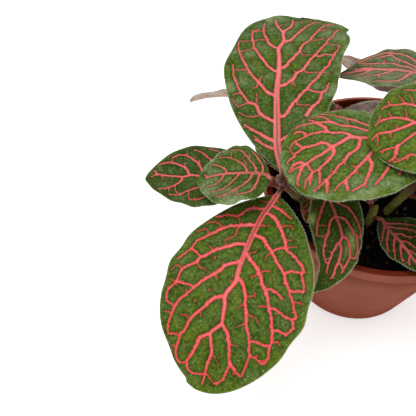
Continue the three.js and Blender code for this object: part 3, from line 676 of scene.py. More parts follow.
        joins=[[(7.25, -3.8), (7.45, -5.9), (7.65, -8.4)]],
        fine=[
            [(4.85, 8.5), (4.85, 5.2)], [(3.2, 9.6), (3.5, 7.5)], [(8.4, -6.3), (8.6, -5.6)],
            [(6.9, 0.8), (6.7, 2.6)], [(6.2, 5.2), (6.6, 3.4)], [(7.5, 3.3), (7.2, 1.0)],
        ], thick=0.85, rib=0.7),
    "short_right": dict(
        midrib=[(0, 0), (1, 2.0), (1.9, 2.8), (3.2, 2.8), (4.3, 2.95), (4.8, 3.3), (6.0, 4.2),
                (7.3, 5.8), (8.5, 6.0), (9.3, 5.5)],
        side=[
            [(1.9, 2.8), (2.55, 5.0), (3.0, 6.7), (3.55, 7.8), (4.0, 8.6), (4.4, 9.3)],
            [(3.2, 2.8), (3.6, 4.4), (4.1, 5.9), (4.6, 7.2), (5.15, 8.4), (5.5, 9.2)],
            [(4.3, 2.95), (4.8, 4.6), (5.3, 6.0), (5.9, 7.6), (6.3, 8.9)],
            [(6.1, 4.3), (6.55, 6.6), (6.95, 8.3)],
            [(1.0, 2.2), (1.5, 4.6), (2.25, 7.6), (2.8, 9.0)],
            [(1.6, 1.6), (1.9, 0.4), (2.5, -1.2), (3.0, -2.6), (3.6, -3.8), (4.2, -4.5), (4.9, -5.6)],
            [(2.9, 2.4), (3.1, 1.2), (3.4, 0), (3.85, -0.3), (4.25, -1.2), (4.6, -2.9), (5.2, -4.6)],
            [(4.0, 2.7), (4.4, 1.4), (4.9, 0.8), (5.6, 0.5), (6.3, -0.6), (7.0, -2.6)],
            [(5.0, 3.4), (5.6, 3.0), (6.3, 2.6), (7.2, 1.2), (7.9, -0.6)],
            [(0.8, 1.0), (1.3, -1.0), (2.0, -3.6), (2.8, -5.6), (3.8, -7.2)],
            [(6.9, 5.2), (7.5, 3.8), (8.3, 2.6)],
        ],
        fine=[
            [(3.0, 6.6), (3.3, 5.2)], [(4.6, 7.0), (4.9, 6.0)], [(5.3, 6.0), (5.6, 5.0)],
            [(3.0, -2.6), (3.1, -4.2)], [(4.2, -1.2), (4.6, -0.6)], [(2.2, 7.6), (2.0, 6.2)],
            [(3.6, -3.8), (3.8, -2.4)], [(4.9, 0.8), (5.2, 1.8)],
        ], thick=0.95),
    "rear_left": dict(
        midrib=[(0, 0), (2, 0), (4, 0.4), (5, 0.2), (6, 0.7), (7.4, 1.0), (9, 0.6)],
        side=[
            [(1.4, 0), (2.2, 1.6), (3.0, 2.4), (3.6, 2.4), (4.2, 3.2), (5.2, 3.4), (6.1, 3.8),
             (6.9, 4.5)],
            [(0.9, 0), (1.6, 2.4), (3.0, 4.6), (3.8, 5.8), (4.4, 7.5), (5.2, 6.8), (5.9, 6.3)],
            [(6.2, 0.7), (6.9, 2.0), (7.8, 2.4)], [(4.2, 0.3), (5, -1.8), (6.1, -3.8), (7, -5.5)],
            [(2.4, 0.1), (3.2, -3.4), (3.9, -6.4), (4.6, -7.0), (5.3, -7.0), (6, -8.2)],
            [(6.4, 0.7), (7.2, -2.0), (7.9, -4.0)], [(1.0, 0), (1.7, -4.0), (2.5, -7.0)],
            [(0.6, 0), (1.6, 5.0), (2.8, 8.0), (4.4, 8.6), (6.0, 7.8), (7.6, 6.0)],
        ],
        fine=[[(6.9, 4.5), (7.4, 5.6)], [(4.5, 7.4), (4.4, 8.8)], [(5.6, -3.0), (5.6, -5.6)],
              [(5.2, 3.4), (5.0, 5.4)], [(3.6, 5.6), (3.8, 2.6)], [(6.2, 0.8), (6.4, 3.8)],
              [(3.0, -2.6), (3.4, 0)]], thick=1.2),
}

# What else sets a leaf apart. The sides of some blades stand out or fall short of the plain outline
# by a few millimetres, given at tenths of the length. Tone is how light the green is, warm how
# yellow, pale how washed out, partly a leaf's own grey and partly painted light that lightens
# leaves lying in shade, sheen how strong the painted grey reflection is towards the margins and
# dull how muted the veins are, all from 0 to 1. Lit lists the patches of painted sunlight: where
# their middle is in tenths of the length and of the half width, and how far they reach along and
# across in the same tenths.
LOOKS = {
    "left_front": dict(tone=0.55, warm=0.5, painted_sheen=0.15, dull=0.05,
                       right=[(0, 0), (3, -0.6), (6, -0.8), (8, -0.9), (9, -3.1), (9.7, -3.4),
                              (10, 0)],
                       left=[(0, 0), (3, 0), (5, 0), (6.5, 0.3), (8, 0.8), (9, 0.7), (10, 0)]),
    "left_back": dict(tone=0.38, warm=0.35, painted_sheen=0.75, dull=0.3,
                      right=[(0, 0), (4, -1.6), (5, -3.2), (6, -2.6), (9.0, 6.0), (9.9, 13.0),
                             (10, 0)],
                      left=[(0, 0), (3, 0.2), (5, -0.9), (7, -1.5), (8.5, -0.8), (9.3, -2.2),
                            (10, 0)]),
    "tall_left": dict(tone=0.58, warm=0.25, painted_sheen=0.75, dull=0.25),
    "tall_left_top": dict(tone=0.6, warm=1.0, painted_sheen=0.05, dull=0.2),
    "left_left_top": dict(tone=0.38, warm=0.15, painted_sheen=0.85, dull=0.4,
                          right=[(0, 0), (1.5, 0.6), (3, 1.3), (4, 0.6), (6, -2.2), (7.5, -2.6),
                                 (9, -1.4), (10, 0)],
                          left=[(0, 0), (2, -0.2), (3, -1.6), (4, -2.4), (5, -2.0), (6, -1.4),
                                (8, 0), (10, 0)]),
    "left_left": dict(tone=0.16, warm=0.2,
                      right=[(0, 0), (5, -1.0), (8, -1.2), (9.3, -0.7), (10, 0)],
                      left=[(0, 0), (3, 0.6), (5, 1.0), (8, 1.8), (9.2, 1.3), (10, 0)]),
    # This leaf's low tone is partly painted shade: it lies under the leaves above it.
    "middle_front": dict(tone=0.15, warm=0.85, painted_sheen=0.1, lit=[(4.2, 8.8, 0.6, 1.2), (5.7, -5.6, 0.9, 2.4)],
                         right=[(0, 0), (2, 1.5), (4, 1.9), (5, 1.3), (6, 0.2), (7, -0.8), (8, -2.0),
                                (9, -1.2), (10, 0)],
                         left=[(0, 0), (3, -1.2), (4, -1.6), (5, -1.2), (6, 0), (7, 1.2), (8, 1.6),
                               (9, 1.2), (10, 0)]),
    # This leaf's low tone is partly painted shade too: it lies under the leaves above it.
    "short_right": dict(tone=0.05, warm=0.5),
    "rear_left": dict(tone=0.35, warm=0.6, pale=0.4, dull=0.45,
                      right=[(0, 0), (2, 3), (3, 3.6), (4.5, 1), (6, -1.6), (8, -2.6), (9.4, -1.5),
                             (10, 0)],
                      left=[(0, 0), (5, 0), (7.5, 1.2), (9.3, 1), (10, 0)]),
    "rear_left_far": dict(tone=0.4, warm=0.1, pale=0.8),
    "rear_low_left": dict(tone=0.5, warm=0.2, pale=1.0),
    "shaded_left": dict(tone=0.3, warm=0.2, pale=0.6),
    "middle_back": dict(tone=0.35, warm=0.8),
    "tall_low_front": dict(tone=0.7, warm=1.0),
    "tall_right": dict(tone=0.4, warm=0.9),
}


def eased(x, stops):
    """A value that goes from stop to stop on even S-curves."""
    at, value = np.array(stops, float).T
    k = np.clip(np.searchsorted(at, x) - 1, 0, len(at) - 2)
    return mix(value[k], value[k + 1], smooth(0, 1, (x - at[k]) / (at[k + 1] - at[k])))


def grown_veins(leaf, rng):
    """Veins by rule. Side veins leave the midrib at even steps, half a step apart on its two sides,
    which makes it zigzag. Each runs out and then forward, s = reach g and t = start + span g^2.1, and
    near the margin turns back to the next. Fine veins join neighbours."""
    count = int(round(3.4 + leaf["length"] / 24))
    side, fine, bends = [], [], [(0, 0)]
    for sign, shift in ((1, 0), (-1, 0.45)):
        paths = []
        for k in range(count):
            start = 0.06 + 0.76 * (k + shift + rng.uniform(-0.12, 0.12)) / (count - 0.2)
            end = min(start + 0.05 + 1.5 * start * (1 - start) * rng.uniform(0.9, 1.1), 0.95)
            zig = sign * 0.07 * max(0, start - 0.35) / 0.65
            bends.append((10 * start, 10 * zig))
            g = np.linspace(0, 1, 6)
            t = start + (end - start) * g ** 2.1
            s = zig + (sign * rng.uniform(0.84, 0.9) - zig) * g
            paths.append(np.column_stack([10 * t, 10 * s]))

        def on(path, g):
            f = np.linspace(0, 1, len(path))
            return (np.interp(g, f, path[:, 0]), np.interp(g, f, path[:, 1]))

        for k, path in enumerate(paths):
            line = [tuple(p) for p in path]
            if k + 1 < count and rng.random() < 0.75:
                line.append(on(paths[k + 1], rng.uniform(0.82, 0.92)))
            side.append(line)
            if k + 1 < count:
                for g in rng.choice([0.5, 0.62, 0.75, 0.86], 2, replace=False):
                    a, b = on(path, g), on(paths[k + 1], g * rng.uniform(0.7, 0.82))
                    f = 1 if rng.random() < 0.6 else rng.uniform(0.3, 0.6)
                    fine.append([a, (mix(a[0], b[0], f), mix(a[1], b[1], f))])
            for g in rng.uniform(0.6, 1, 2):
                a = on(path, g)
                fine.append([a, (a[0] + rng.uniform(-0.2, 0.5), mix(a[1], sign * 9.5, 0.6))])
            for g in rng.uniform(0.2, 0.8, 2):
                a = on(path, g)
                fine.append([a, (a[0] + rng.uniform(-0.5, 0.5), a[1] * rng.uniform(0.75, 0.95))])
    bends = sorted(bends) + [(9.8, 0)]
    return dict(midrib=bends, side=side, fine=fine)


def curve_through(points, steps=5):
    """A smooth curve through points, steps pieces to each stretch: cubics whose slope at each point
    is half the way from the point before it to the point after it."""
    p = np.asarray(points, float)
    if len(p) < 3:
        return p
    p = np.vstack([2 * p[0] - p[1], p, 2 * p[-1] - p[-2]])
    a, b, c, d = p[:-3, None], p[1:-2, None], p[2:-1, None], p[3:, None]
    f = np.linspace(0, 1, steps, endpoint=False)[None, :, None]
    run = b + 0.5 * f * (c - a + f * (2 * a - 5 * b + 4 * c - d + f * (3 * (b - c) + d - a)))
    return np.vstack([run.reshape(-1, 2), p[-2]])


# Each kind of vein's first and last width in mm on a leaf 80 mm long, its rank, and how far its
# points stray in mm.
VEIN_KINDS = dict(side=(1.35, 0.6, 1, 0.12), joins=(0.9, 0.75, 1, 0.1), fine=(0.62, 0.36, 2, 0.1))


def vein_lines(leaf, veins, rng):
    """The leaf's veins on its flattened blade, x along it and y to its right, in mm. Returns rows of
    x, y and width at both ends of each straight piece, and its rank: 0 for the midrib, 1 for side
    veins and 2 for fine ones."""
    length = leaf["length"]
    thick = veins.get("thick", 1.0) * (length / 80) ** 0.4
    pieces = []

    def add(points, first, last, rank, jitter):
        """One vein through points, from its first width to its last, a little uneven."""
        tenths = curve_through(points)
        x = tenths[:, 0] / 10 * length
        y = tenths[:, 1] / 10 * half_width(leaf, tenths[:, 0] / 10)
        wobble = rng.normal(0, jitter, (2, len(x))) * np.where(np.arange(len(x)) % 3, 0.6, 1.4)
        wobble[:, [0, -1]] = 0
        x, y = x + wobble[0], y + wobble[1]
        width = np.linspace(first, last, len(x)) * rng.uniform(0.85, 1.15, len(x))
        width = width * np.where(np.arange(len(x)) % 5, 1, 1.25)
        rows = [x[:-1], y[:-1], width[:-1], x[1:], y[1:], width[1:], np.full(len(x) - 1, rank)]
        pieces.append(np.column_stack(rows))

    rib = curve_through(veins["midrib"])
    t = np.clip(rib[:, 0] / 10, 0, 1)
    x, y = t * length, rib[:, 1] / 10 * half_width(leaf, t)
    width = thick * (0.9 + veins.get("rib", 1.0) * 1.75 * (1 - t) ** 1.1) * np.where(t > 0.9, 0.75, 1)
    pieces.append(np.column_stack([x[:-1], y[:-1], width[:-1], x[1:], y[1:], width[1:], 0 * x[1:]]))
    pieces.append(np.array([[-leaf["petiole"] - ROOTED, 0, 3, 0, 0, 3, 0]]))
    for kind, (first, last, rank, jitter) in VEIN_KINDS.items():
        for path in veins.get(kind, []):
            add(path, first * thick, last * thick, rank, jitter)
    for path in veins["side"]:
        nodes = curve_through(path)
        for _ in range(int(length / 22) + 1):
            a = nodes[rng.integers(1, len(nodes))]
            turn = rng.uniform(0, 2 * np.pi)
            reach = rng.uniform(0.7, 1.7) * thick
            across = max(float(half_width(leaf, a[0] / 10)), 1)
            b = a + np.array([np.cos(turn) * reach / length, np.sin(turn) * reach / across]) * 10
            add([a, b], 0.62 * thick, 0.3 * thick, 2, 0)
    return np.vstack(pieces)


def vein_fields(lines, x, y):
    """How far each point is outside the nearest vein's edge, negative inside it, that vein's rank,
    and how far the point is from the midrib's middle line, in mm. The distance to a straight piece is
    taken at the nearest point on it, where its half width is interpolated too."""
    edge = np.full(x.shape, 9.0)
    rank = np.full(x.shape, 1.0)
    middle = np.full(x.shape, 99.0)
    for ax, ay, aw, bx, by, bw, kind in lines:
        dx, dy = bx - ax, by - ay
        f = np.clip(((x - ax) * dx + (y - ay) * dy) / max(dx * dx + dy * dy, 1e-9), 0, 1)
        away = np.hypot(x - ax - f * dx, y - ay - f * dy)
        outside = away - (aw + (bw - aw) * f) / 2
        rank = np.where(outside < edge, kind, rank)
        edge = np.minimum(edge, outside)
        if kind == 0:
            middle = np.minimum(middle, away)
    return edge, rank, middle


def leaf_piece(place, side):
    """A leaf: petiole and blade in one closed skin.

    The middle surface is the midrib's point + right q + up lift, with q = s half_width and
    lift = fold |q| - bow q^2 / (width / 2) + wave sin(3 pi t + s) s^2 sin(pi t), and slow random
    waves that grow to a frill at the margins. The top stands on it by half the blade's thickness and
    swells between the veins. Below it the veins are ribs."""
    shoot = SHOOTS[place]
    leaf = {**LEAF, **shoot["leaves"][side]}
    key = f"{place}_{side}"
    spacing = SHOWN_SPACING if key in VEINS else HIDDEN_SPACING
    rng = np.random.default_rng(sum(ord(c) * (i + 7) for i, c in enumerate(key)))
    t = stations(leaf, spacing)
    petiole = np.linspace(-leaf["petiole"] - ROOTED, 0, max(4, int(leaf["petiole"] / 1.2) + 3))[:-1]
    u = np.concatenate([petiole, t * leaf["length"]])
    if len(u) % 2 == 0:
        u = np.delete(u, 1)
    tt = np.clip(u / leaf["length"], 0, 1)
    point, right, up = leaf_line(shoot, leaf, u)
    columns = 2 * int(round(leaf["width"] / 2 / spacing)) + 1
    if columns % 4 == 3:
        columns += 2
    s = np.sin(np.linspace(-1, 1, columns) * np.pi / 2 * SIDE_CROWDING)
    s = s / np.sin(np.pi / 2 * SIDE_CROWDING)
    look = LOOKS.get(key, {})
    half = half_width(leaf, tt)
    half[u < 0] = PETIOLE_RADIUS
    uneven = waves(rng, 5, 2, 9)
    sides = []
    for sign, name in ((1, "right"), (-1, "left")):
        own = UNEVEN * half * uneven(tt * 5, sign + 0 * tt) * smooth(0.02, 0.2, tt)
        if name in look:
            own = own + eased(10 * tt, look[name]) * smooth(0, 0.12, tt)
        sides.append(np.maximum(half + own, np.minimum(half, 1)))
    flat = np.minimum(1, tt / TUBE_FADE)[:, None]
    S, T = s[None, :], tt[:, None]
    H = np.where(S > 0, sides[0][:, None], sides[1][:, None])
    q = S * H
    soft = np.sqrt(q * q + SOFT_FOLD ** 2) - SOFT_FOLD
    drape = waves(rng, 6, 1.5, 4.5)
    lift = flat * (leaf["fold"] * soft - leaf["bow"] * q * q / (leaf["width"] / 2))
    lift = lift + leaf["wave"] * np.sin(3 * np.pi * T + S) * S * S * np.sin(np.pi * T)
    frill = waves(rng, 5, 5, 14)
    slow = DRAPE * drape(T * 3, S * 1.5) + FRILL * np.abs(S) ** 3 * frill(T * 3, S)
    lift = lift + flat * slow * min(1.0, leaf["length"] / 50)
    sheet = point[:, None, :] + right[:, None, :] * q[..., None] + up[:, None, :] * lift[..., None]

    lines = vein_lines(leaf, VEINS.get(key) or grown_veins(leaf, rng), rng)
    x = np.broadcast_to(u[:, None], q.shape)
    edge, rank, middle = vein_fields(lines, x, q)
    size = min(1.0, (leaf["length"] / 70) ** 0.5)
    rim = H - np.abs(q) + 0 * T
    inland = smooth(0, 2.5, rim) * flat
    swell = (1 - np.exp(-(np.maximum(edge, 0) / (VEIN_SLOPE * size)) ** 2)) * inland
    grain = waves(rng, 14, 1.6, 4.0)
    top = QUILT * size * swell + GRAIN * grain(x, q) * inland
    rib_top = RIB_TOP * np.exp(-(middle / 0.9) ** 2) * inland
    ribs = RIB_BELOW * size * np.exp(-(np.maximum(edge + 0.2, 0) / 0.7) ** 2) * inland
    keel = KEEL * size * (1 - T) * np.exp(-(middle / 1.1) ** 2) * inland

    across = np.gradient(sheet, axis=1)
    along = np.gradient(sheet, axis=0)
    normal = np.cross(across, along)
    normal[:, :] *= np.sign((normal * up[:, None, :]).sum(-1, keepdims=True))
    normal = normal / np.maximum(np.linalg.norm(normal, axis=-1, keepdims=True), 1e-12)
    thin = (1 - np.abs(S) ** 8) ** 0.5
    tube = np.sqrt(np.maximum(1 - S * S, 0)) * PETIOLE_RADIUS
    body = mix(tube, BLADE_HALF * thin, flat)
    upper = sheet + normal * (body + top + rib_top)[..., None]
    lower = sheet - normal * (body + ribs + keel - 0.5 * top)[..., None]
    upper[:, [0, -1]] = sheet[:, [0, -1]]

    rows = len(u)
    low_rows, low_columns = np.arange(0, rows, 2), np.arange(2, columns - 2, 2)
    low_points = lower[np.ix_(low_rows, low_columns)].reshape(-1, 3)
    points = np.vstack([upper.reshape(-1, 3), low_points])
    n = len(low_columns)
    below = rows * columns
    row = np.arange(len(low_rows) - 1)
    left, inner = low_rows[:-1] * columns, below + row * n
    right = left + columns - 1
    outer = inner + n - 1
    underside = [
        grid_faces(len(low_rows), n, below),
        np.stack([left, inner, inner + n, left + 2 * columns, left + columns], -1),
        np.stack([right, right + columns, right + 2 * columns, outer + n, outer], -1),
        np.append(np.arange(columns), below + np.arange(n)[::-1])[None],
        np.append(below - 1 - np.arange(columns), below + (len(low_rows) - 1) * n + np.arange(n))[None],
    ]
    faces = [grid_faces(rows, columns)] + [f[:, ::-1] for f in underside]

    lit = 0 * edge
    for at, aside, reach, spread in look.get("lit", []):
        lit = np.maximum(lit, np.exp(-((10 * T - at) / reach) ** 2 - ((10 * S - aside) / spread) ** 2))

    def both(values):
        values = np.broadcast_to(values, (rows, columns))
        low = values[np.ix_(low_rows, low_columns)]
        return np.concatenate([values.ravel(), low.ravel()])

    plain = dict(tone=rng.uniform(0.3, 0.6), warm=rng.uniform(0.1, 0.6), pale=0, painted_sheen=0.25, dull=0.3)
    fields = {name: np.full(len(points), look.get(name, value)) for name, value in plain.items()}
    fields.update(
        vein=both(np.where(x < 0, -1, edge)),
        rank=both(rank),
        middle=both(np.minimum(middle, 30)),
        rim=both(np.minimum(rim, 30)),
        along=both(x / leaf["length"]),
        under=np.concatenate([np.zeros(rows * columns), np.ones(len(low_points))]),
        lit=both(lit),
    )
    mesh_piece(f"fine_{key}", points, faces, LEAF_GREEN, [f"leaf_{key}"], attributes=fields)
    return dict(sheet=sheet, normal=normal, along=unit(along + 1e-9), u=u, petiole=leaf["petiole"])


def spikes(base, way, radius):
    """Hairs: three-sided spikes from base points, way long, as points and faces."""
    d = unit(way)
    e = unit(np.cross(d, np.where(np.abs(d[:, 2:]) < 0.8, [[0, 0, 1.0]], [[1.0, 0, 0]])))
    f = np.cross(d, e)
    corners = [base + radius * (np.cos(a) * e + np.sin(a) * f) for a in 2 * np.pi / 3 * np.arange(3)]
    points = np.stack([*corners, base + way], 1).reshape(-1, 3)
    k = 4 * np.arange(len(base))[:, None, None]
    faces = k + np.array([[0, 1, 3], [1, 2, 3], [2, 0, 3], [2, 1, 0]])
    return points, faces.reshape(-1, 3)


def margin_hairs(skin, rng):
    """Hairs along both margins of a blade, one about every third of a millimetre, that lean out
    and a little to the tip or up."""
    bases, ways = [], []
    on_blade = skin["u"] >= 0
    for column, inside in ((0, 3), (-1, -4)):
        line = skin["sheet"][on_blade, column]
        inner = skin["sheet"][on_blade, inside]
        reach = np.append(0, np.cumsum(np.linalg.norm(np.diff(line, axis=0), axis=1)))
        at = np.arange(1.5, reach[-1], HAIR_GAP)
        at = at + rng.uniform(-0.15, 0.15, len(at))

        def on(values):
            return np.stack([np.interp(at, reach, values[:, k]) for k in range(3)], -1)

        out = unit(on(line - inner))
        up = unit(on(skin["normal"][on_blade, column]))
        along = unit(on(skin["along"][on_blade, column]))
        lean = rng.normal(0, 1, (len(at), 3))
        way = unit(out + 0.3 * along + 0.35 * lean[:, :1] * up + 0.3 * lean[:, 1:2] * along)
        bases.append(on(line) - 0.05 * out)
        ways.append(way * rng.uniform(0.35, 0.85, (len(at), 1)))
    return np.vstack(bases), np.vstack(ways)


def tube_hairs(centre, along, radius, count, rng):
    """Hairs all round a tube: a random place on its line, a random side, and out from there."""
    f = rng.uniform(0, 1, count) * (len(centre) - 1)
    k = f.astype(int).clip(0, len(centre) - 2)
    w = (f - k)[:, None]
    middle = mix(centre[k], centre[k + 1], w)
    axis = unit(mix(along[k], along[k + 1], w))
    side = unit(np.cross(axis, rng.normal(0, 1, (count, 3))))
    wide = mix(radius[k], radius[k + 1], w[:, 0])[:, None]
    way = unit(side + 0.35 * rng.normal(0, 1, (count, 3)))
    return middle + side * (wide - 0.03), way * rng.uniform(0.3, 0.75, (count, 1))


def hair_piece(place, skins, rng):
    """All the hairs of one shoot: on its stem, its petioles and its leaves' margins."""
    shoot = SHOOTS[place]
    f = np.linspace(HAIRY_FROM, 1, 60)
    wide = stem_radius(shoot, f)
    parts = [tube_hairs(stem_point(shoot, f), stem_along(shoot, f), wide, STEM_HAIRS, rng)]
    f = np.linspace(0.93, 1.05, 20)
    parts.append(tube_hairs(stem_point(shoot, f), stem_along(shoot, f), 0 * f + 0.9, BUD_HAIRS, rng))
    for skin in skins:
        parts.append(margin_hairs(skin, rng))
        on = skin["u"] <= 0.5
        middle = skin["sheet"].shape[1] // 2
        line, along = skin["sheet"][on, middle], skin["along"][on, middle]
        wide = np.full(len(line), PETIOLE_RADIUS)
        parts.append(tube_hairs(line, along, wide, int(skin["petiole"] * PETIOLE_HAIRS), rng))
    base, way = (np.vstack([p[k] for p in parts]) for k in (0, 1))
    points, faces = spikes(base, way, HAIR_RADIUS)
    mesh_piece(f"hairs_{place}", points, [faces], HAIR_WHITE, smooth_faces=False)


# Materials

class Value:
    """A shader socket that carries a number, so that sums of sockets read as sums."""

    def __init__(self, paint, socket):
        self.paint, self.socket = paint, socket

    def math(self, operation, *others):
        """A Math node's operation on this value and others."""
        return self.paint.node("Math", dict(operation=operation), dict(enumerate((self, *others))))

    def __add__(self, other):
        return self.math("ADD", other)

    def __sub__(self, other):
        return self.math("SUBTRACT", other)

    def __mul__(self, other):
        return self.math("MULTIPLY", other)

    def __truediv__(self, other):
        return self.math("DIVIDE", other)

    def __rsub__(self, other):
        return self.paint.node("Math", dict(operation="SUBTRACT"), {0: other, 1: self})

    __radd__ = __add__
    __rmul__ = __mul__

    def least(self, other):
        return self.math("MINIMUM", other)

    def most(self, other):
        return self.math("MAXIMUM", other)

    def root(self):
        return self.math("SQRT")

    def step(self, low, high):
        """0 below low, 1 above high, and a smooth rise between."""
        settings = dict(interpolation_type="SMOOTHSTEP")
        return self.paint.node("MapRange", settings, {0: self, 1: low, 2: high, 3: 0.0, 4: 1.0})


class Paint:
    """A material and its nodes."""

    def __init__(self, name, **sockets):
        self.material = bpy.data.materials.new(name)
        self.material.use_nodes = True
        self.tree = self.material.node_tree
        self.tree.nodes.clear()
        self.shader = self.tree.nodes.new("ShaderNodeBsdfPrincipled")
        output = self.tree.nodes.new("ShaderNodeOutputMaterial")
        self.tree.links.new(self.shader.outputs[0], output.inputs[0])
        self.place = self.node("TexCoord", {}, {}, 3)
        self.set(**sockets)

    def put(self, socket, value):
        """Links a socket to another, or gives it a number or a colour."""
        if isinstance(value, Value):
            self.tree.links.new(value.socket, socket)
        else:
            socket.default_value = (*value, 1.0) if is_colour(value, socket) else value

    def set(self, **sockets):
        """Puts values on the shader's sockets. An underscore stands for a space in a name."""
        for key, value in sockets.items():
            self.put(self.shader.inputs[key.replace("_", " ")], value)

    def node(self, kind, settings, inputs, output=0):
        """One of the outputs of a new node of a kind, its settings made before its inputs."""
        made = self.tree.nodes.new("ShaderNode" + kind)
        for key, value in settings.items():
            setattr(made, key, value)
        for key, value in inputs.items():
            self.put(made.inputs[key], value)
        return Value(self, made.outputs[output])

    def noise(self, size, detail=2.0, at=None):
        """A noise from 0 to 1 whose patches are about size millimetres wide."""
        inputs = {"Vector": at or self.place, "Scale": 1 / (size * MM), "Detail": detail}
        return self.node("TexNoise", {}, inputs)

    def spots(self, size):
        """The distance to the nearest of scattered points about size millimetres apart."""
        return self.node("TexVoronoi", {}, {"Vector": self.place, "Scale": 1 / (size * MM)})

    def field(self, name):
        """One of the numbers that a leaf's points carry."""
        return self.node("Attribute", dict(attribute_name=name), {}, 2)

    def blend(self, factor, first, second):
        """A colour that goes from the first to the second as the factor goes from 0 to 1."""
        return self.node("Mix", dict(data_type="RGBA"), {0: factor, 6: first, 7: second}, 2)

    def bump(self, height, depth):
        """Normals for a height from 0 to 1 that stands for depth millimetres."""
        self.set(Normal=self.node("Bump", {}, {"Height": height, "Distance": depth * MM, "Strength": 1.0}))


def is_colour(value, socket):
    """Whether a value is red, green and blue for a socket that wants alpha too."""
    return isinstance(value, tuple) and socket.type == "RGBA" and len(value) == 3


def srgb(r, g, b):
    """A colour given as it looks, from 0 to 255, in the shader's linear light."""
    c = np.array([r, g, b]) / 255
    linear = np.where(c <= 0.04045, c / 12.92, ((c + 0.055) / 1.055) ** 2.4)
    return tuple(float(v) for v in linear)


def leaf_paint():
    """A leaf: greens clouded by noise, a painted grey reflection towards the margins, painted sunlit
    patches, painted shade along the veins, pale specks, red veins whose edges come from the distance
    field, and a greyer underside with dull pink veins. On pale leaves a wash that is partly painted
    light."""
    paint = Paint("leaf_green", Specular_IOR_Level=0.06)
    names = ("under", "tone", "warm", "rim", "along", "pale", "rank")
    under, tone, warm, rim, along, pale, rank = (paint.field(name) for name in names)
    clouds = paint.noise(12).step(0.36, 0.62)
    mottle = paint.noise(4, 3.0).step(0.35, 0.65)
    cells = paint.noise(1.1).step(0.3, 0.7)
    cool = paint.blend(tone, srgb(14, 34, 0), srgb(68, 98, 16))
    yellow = paint.blend(tone, srgb(34, 46, 0), srgb(84, 102, 0))
    lamina = paint.blend((warm * 0.5 + clouds * 0.7 - 0.1).most(0.0), cool, yellow)
    lamina = paint.blend((1 - mottle) * 0.65, lamina, srgb(24, 44, 0))
    base_shade = 1 - along.step(0.05, 0.5)
    lamina = paint.blend(base_shade * 0.5, lamina, srgb(32, 58, 0))
    # Painted reflection: grey patches, strongest towards the margins and kept off the blade's base.
    painted_sheen = (1 - rim.step(0.5, 14) * 0.6) * (1 - base_shade) * paint.noise(9).step(0.42, 0.66)
    painted_sheen = painted_sheen * (0.5 + 0.5 * cells)
    lamina = paint.blend(painted_sheen * paint.field("painted_sheen"), lamina, srgb(122, 136, 100))
    # Painted sunlight: the lit patches turn the green pale yellow-green.
    lamina = paint.blend(paint.field("lit") * (0.6 + 0.4 * cells), lamina, srgb(152, 162, 92))
    lamina = paint.blend(cells * (0.08 + tone * 0.34), lamina, srgb(126, 148, 66))
    # Pale leaves wash towards grey and light brown, partly their own grey and partly painted light on
    # leaves that lie in shade.
    lamina = paint.blend(pale * 0.7, lamina, paint.blend(mottle, srgb(92, 100, 84), srgb(150, 138, 124)))
    edge = paint.field("vein") + (paint.noise(0.8) - 0.5) * 0.45
    # Painted shade: the green darkens within about 1.7 mm of each vein, where the blade dips to it.
    near = 1 - edge.step(0.0, 1.7)
    lamina = paint.blend(near * 0.5, lamina, srgb(20, 38, 0))
    specks = (1 - paint.spots(1.2).step(0.11, 0.2)) * paint.noise(2.6).step(0.44, 0.58)
    lamina = paint.blend(specks * 0.6, lamina, srgb(164, 180, 132))
    rib = 1 - paint.field("middle").step(0.3, 0.75)
    red = paint.blend((0 - edge).step(0.0, 0.6), srgb(190, 54, 56), srgb(212, 96, 102))
    red = paint.blend((0 - edge).step(0.45, 0.95), red, srgb(222, 126, 124))
    red = paint.blend(rank.step(1.2, 1.8), red, srgb(172, 52, 46))
    red = paint.blend(mottle * 0.25, red, srgb(212, 64, 60))
    red = paint.blend((1 - along.step(0.2, 0.55)) * rib * 0.85, red, srgb(120, 58, 34))
    red = paint.blend(paint.field("dull"), red, srgb(158, 104, 98))
    # On pale leaves the veins turn pale pink, partly painted light too.
    red = paint.blend(pale * 0.6, red, srgb(196, 120, 114))
    line = 1 - edge.step(-0.12, 0.12)
    top = paint.blend(line, lamina, red)
    top = paint.blend((1 - rim.step(0.1, 0.5)) * 0.5, top, srgb(150, 164, 116))
    grey = paint.blend(clouds, srgb(98, 104, 74), srgb(132, 128, 104))
    # On pale leaves the underside turns much lighter, partly its own grey and partly painted light.
    grey = paint.blend(pale, grey, paint.blend(mottle, srgb(176, 176, 158), srgb(232, 216, 202)))
    back = paint.blend(line * 0.8, grey, paint.blend(pale, srgb(160, 90, 82), srgb(214, 140, 140)))
    skin = paint.blend(under, top, back)
    stalk = 1 - along.step(-0.04, 0.01)
    tan = paint.blend(paint.noise(4).step(0.3, 0.7), srgb(98, 46, 32), srgb(126, 66, 46))
    paint.set(Base_Color=paint.blend(stalk, skin, tan))
    paint.set(Roughness=paint.noise(1.6).step(0.2, 0.8) * 0.14 + 0.38 + under * 0.12)
    relief = paint.noise(0.9, 3.0) * 0.5 + (1 - paint.spots(0.7).step(0.0, 0.5)) * 0.5
    paint.bump(relief, 0.07)
    return paint.material


def plain_paint(name, light, dark, size, rough, depth, shine=0.2):
    """A surface clouded between two colours, with a fine grain."""
    paint = Paint(name, Roughness=rough, Specular_IOR_Level=shine)
    clouds = paint.noise(size, 3.0)
    paint.set(Base_Color=paint.blend(clouds.step(0.3, 0.7), dark, light))
    paint.bump(paint.noise(size / 6, 3.0), depth)
    return paint.material


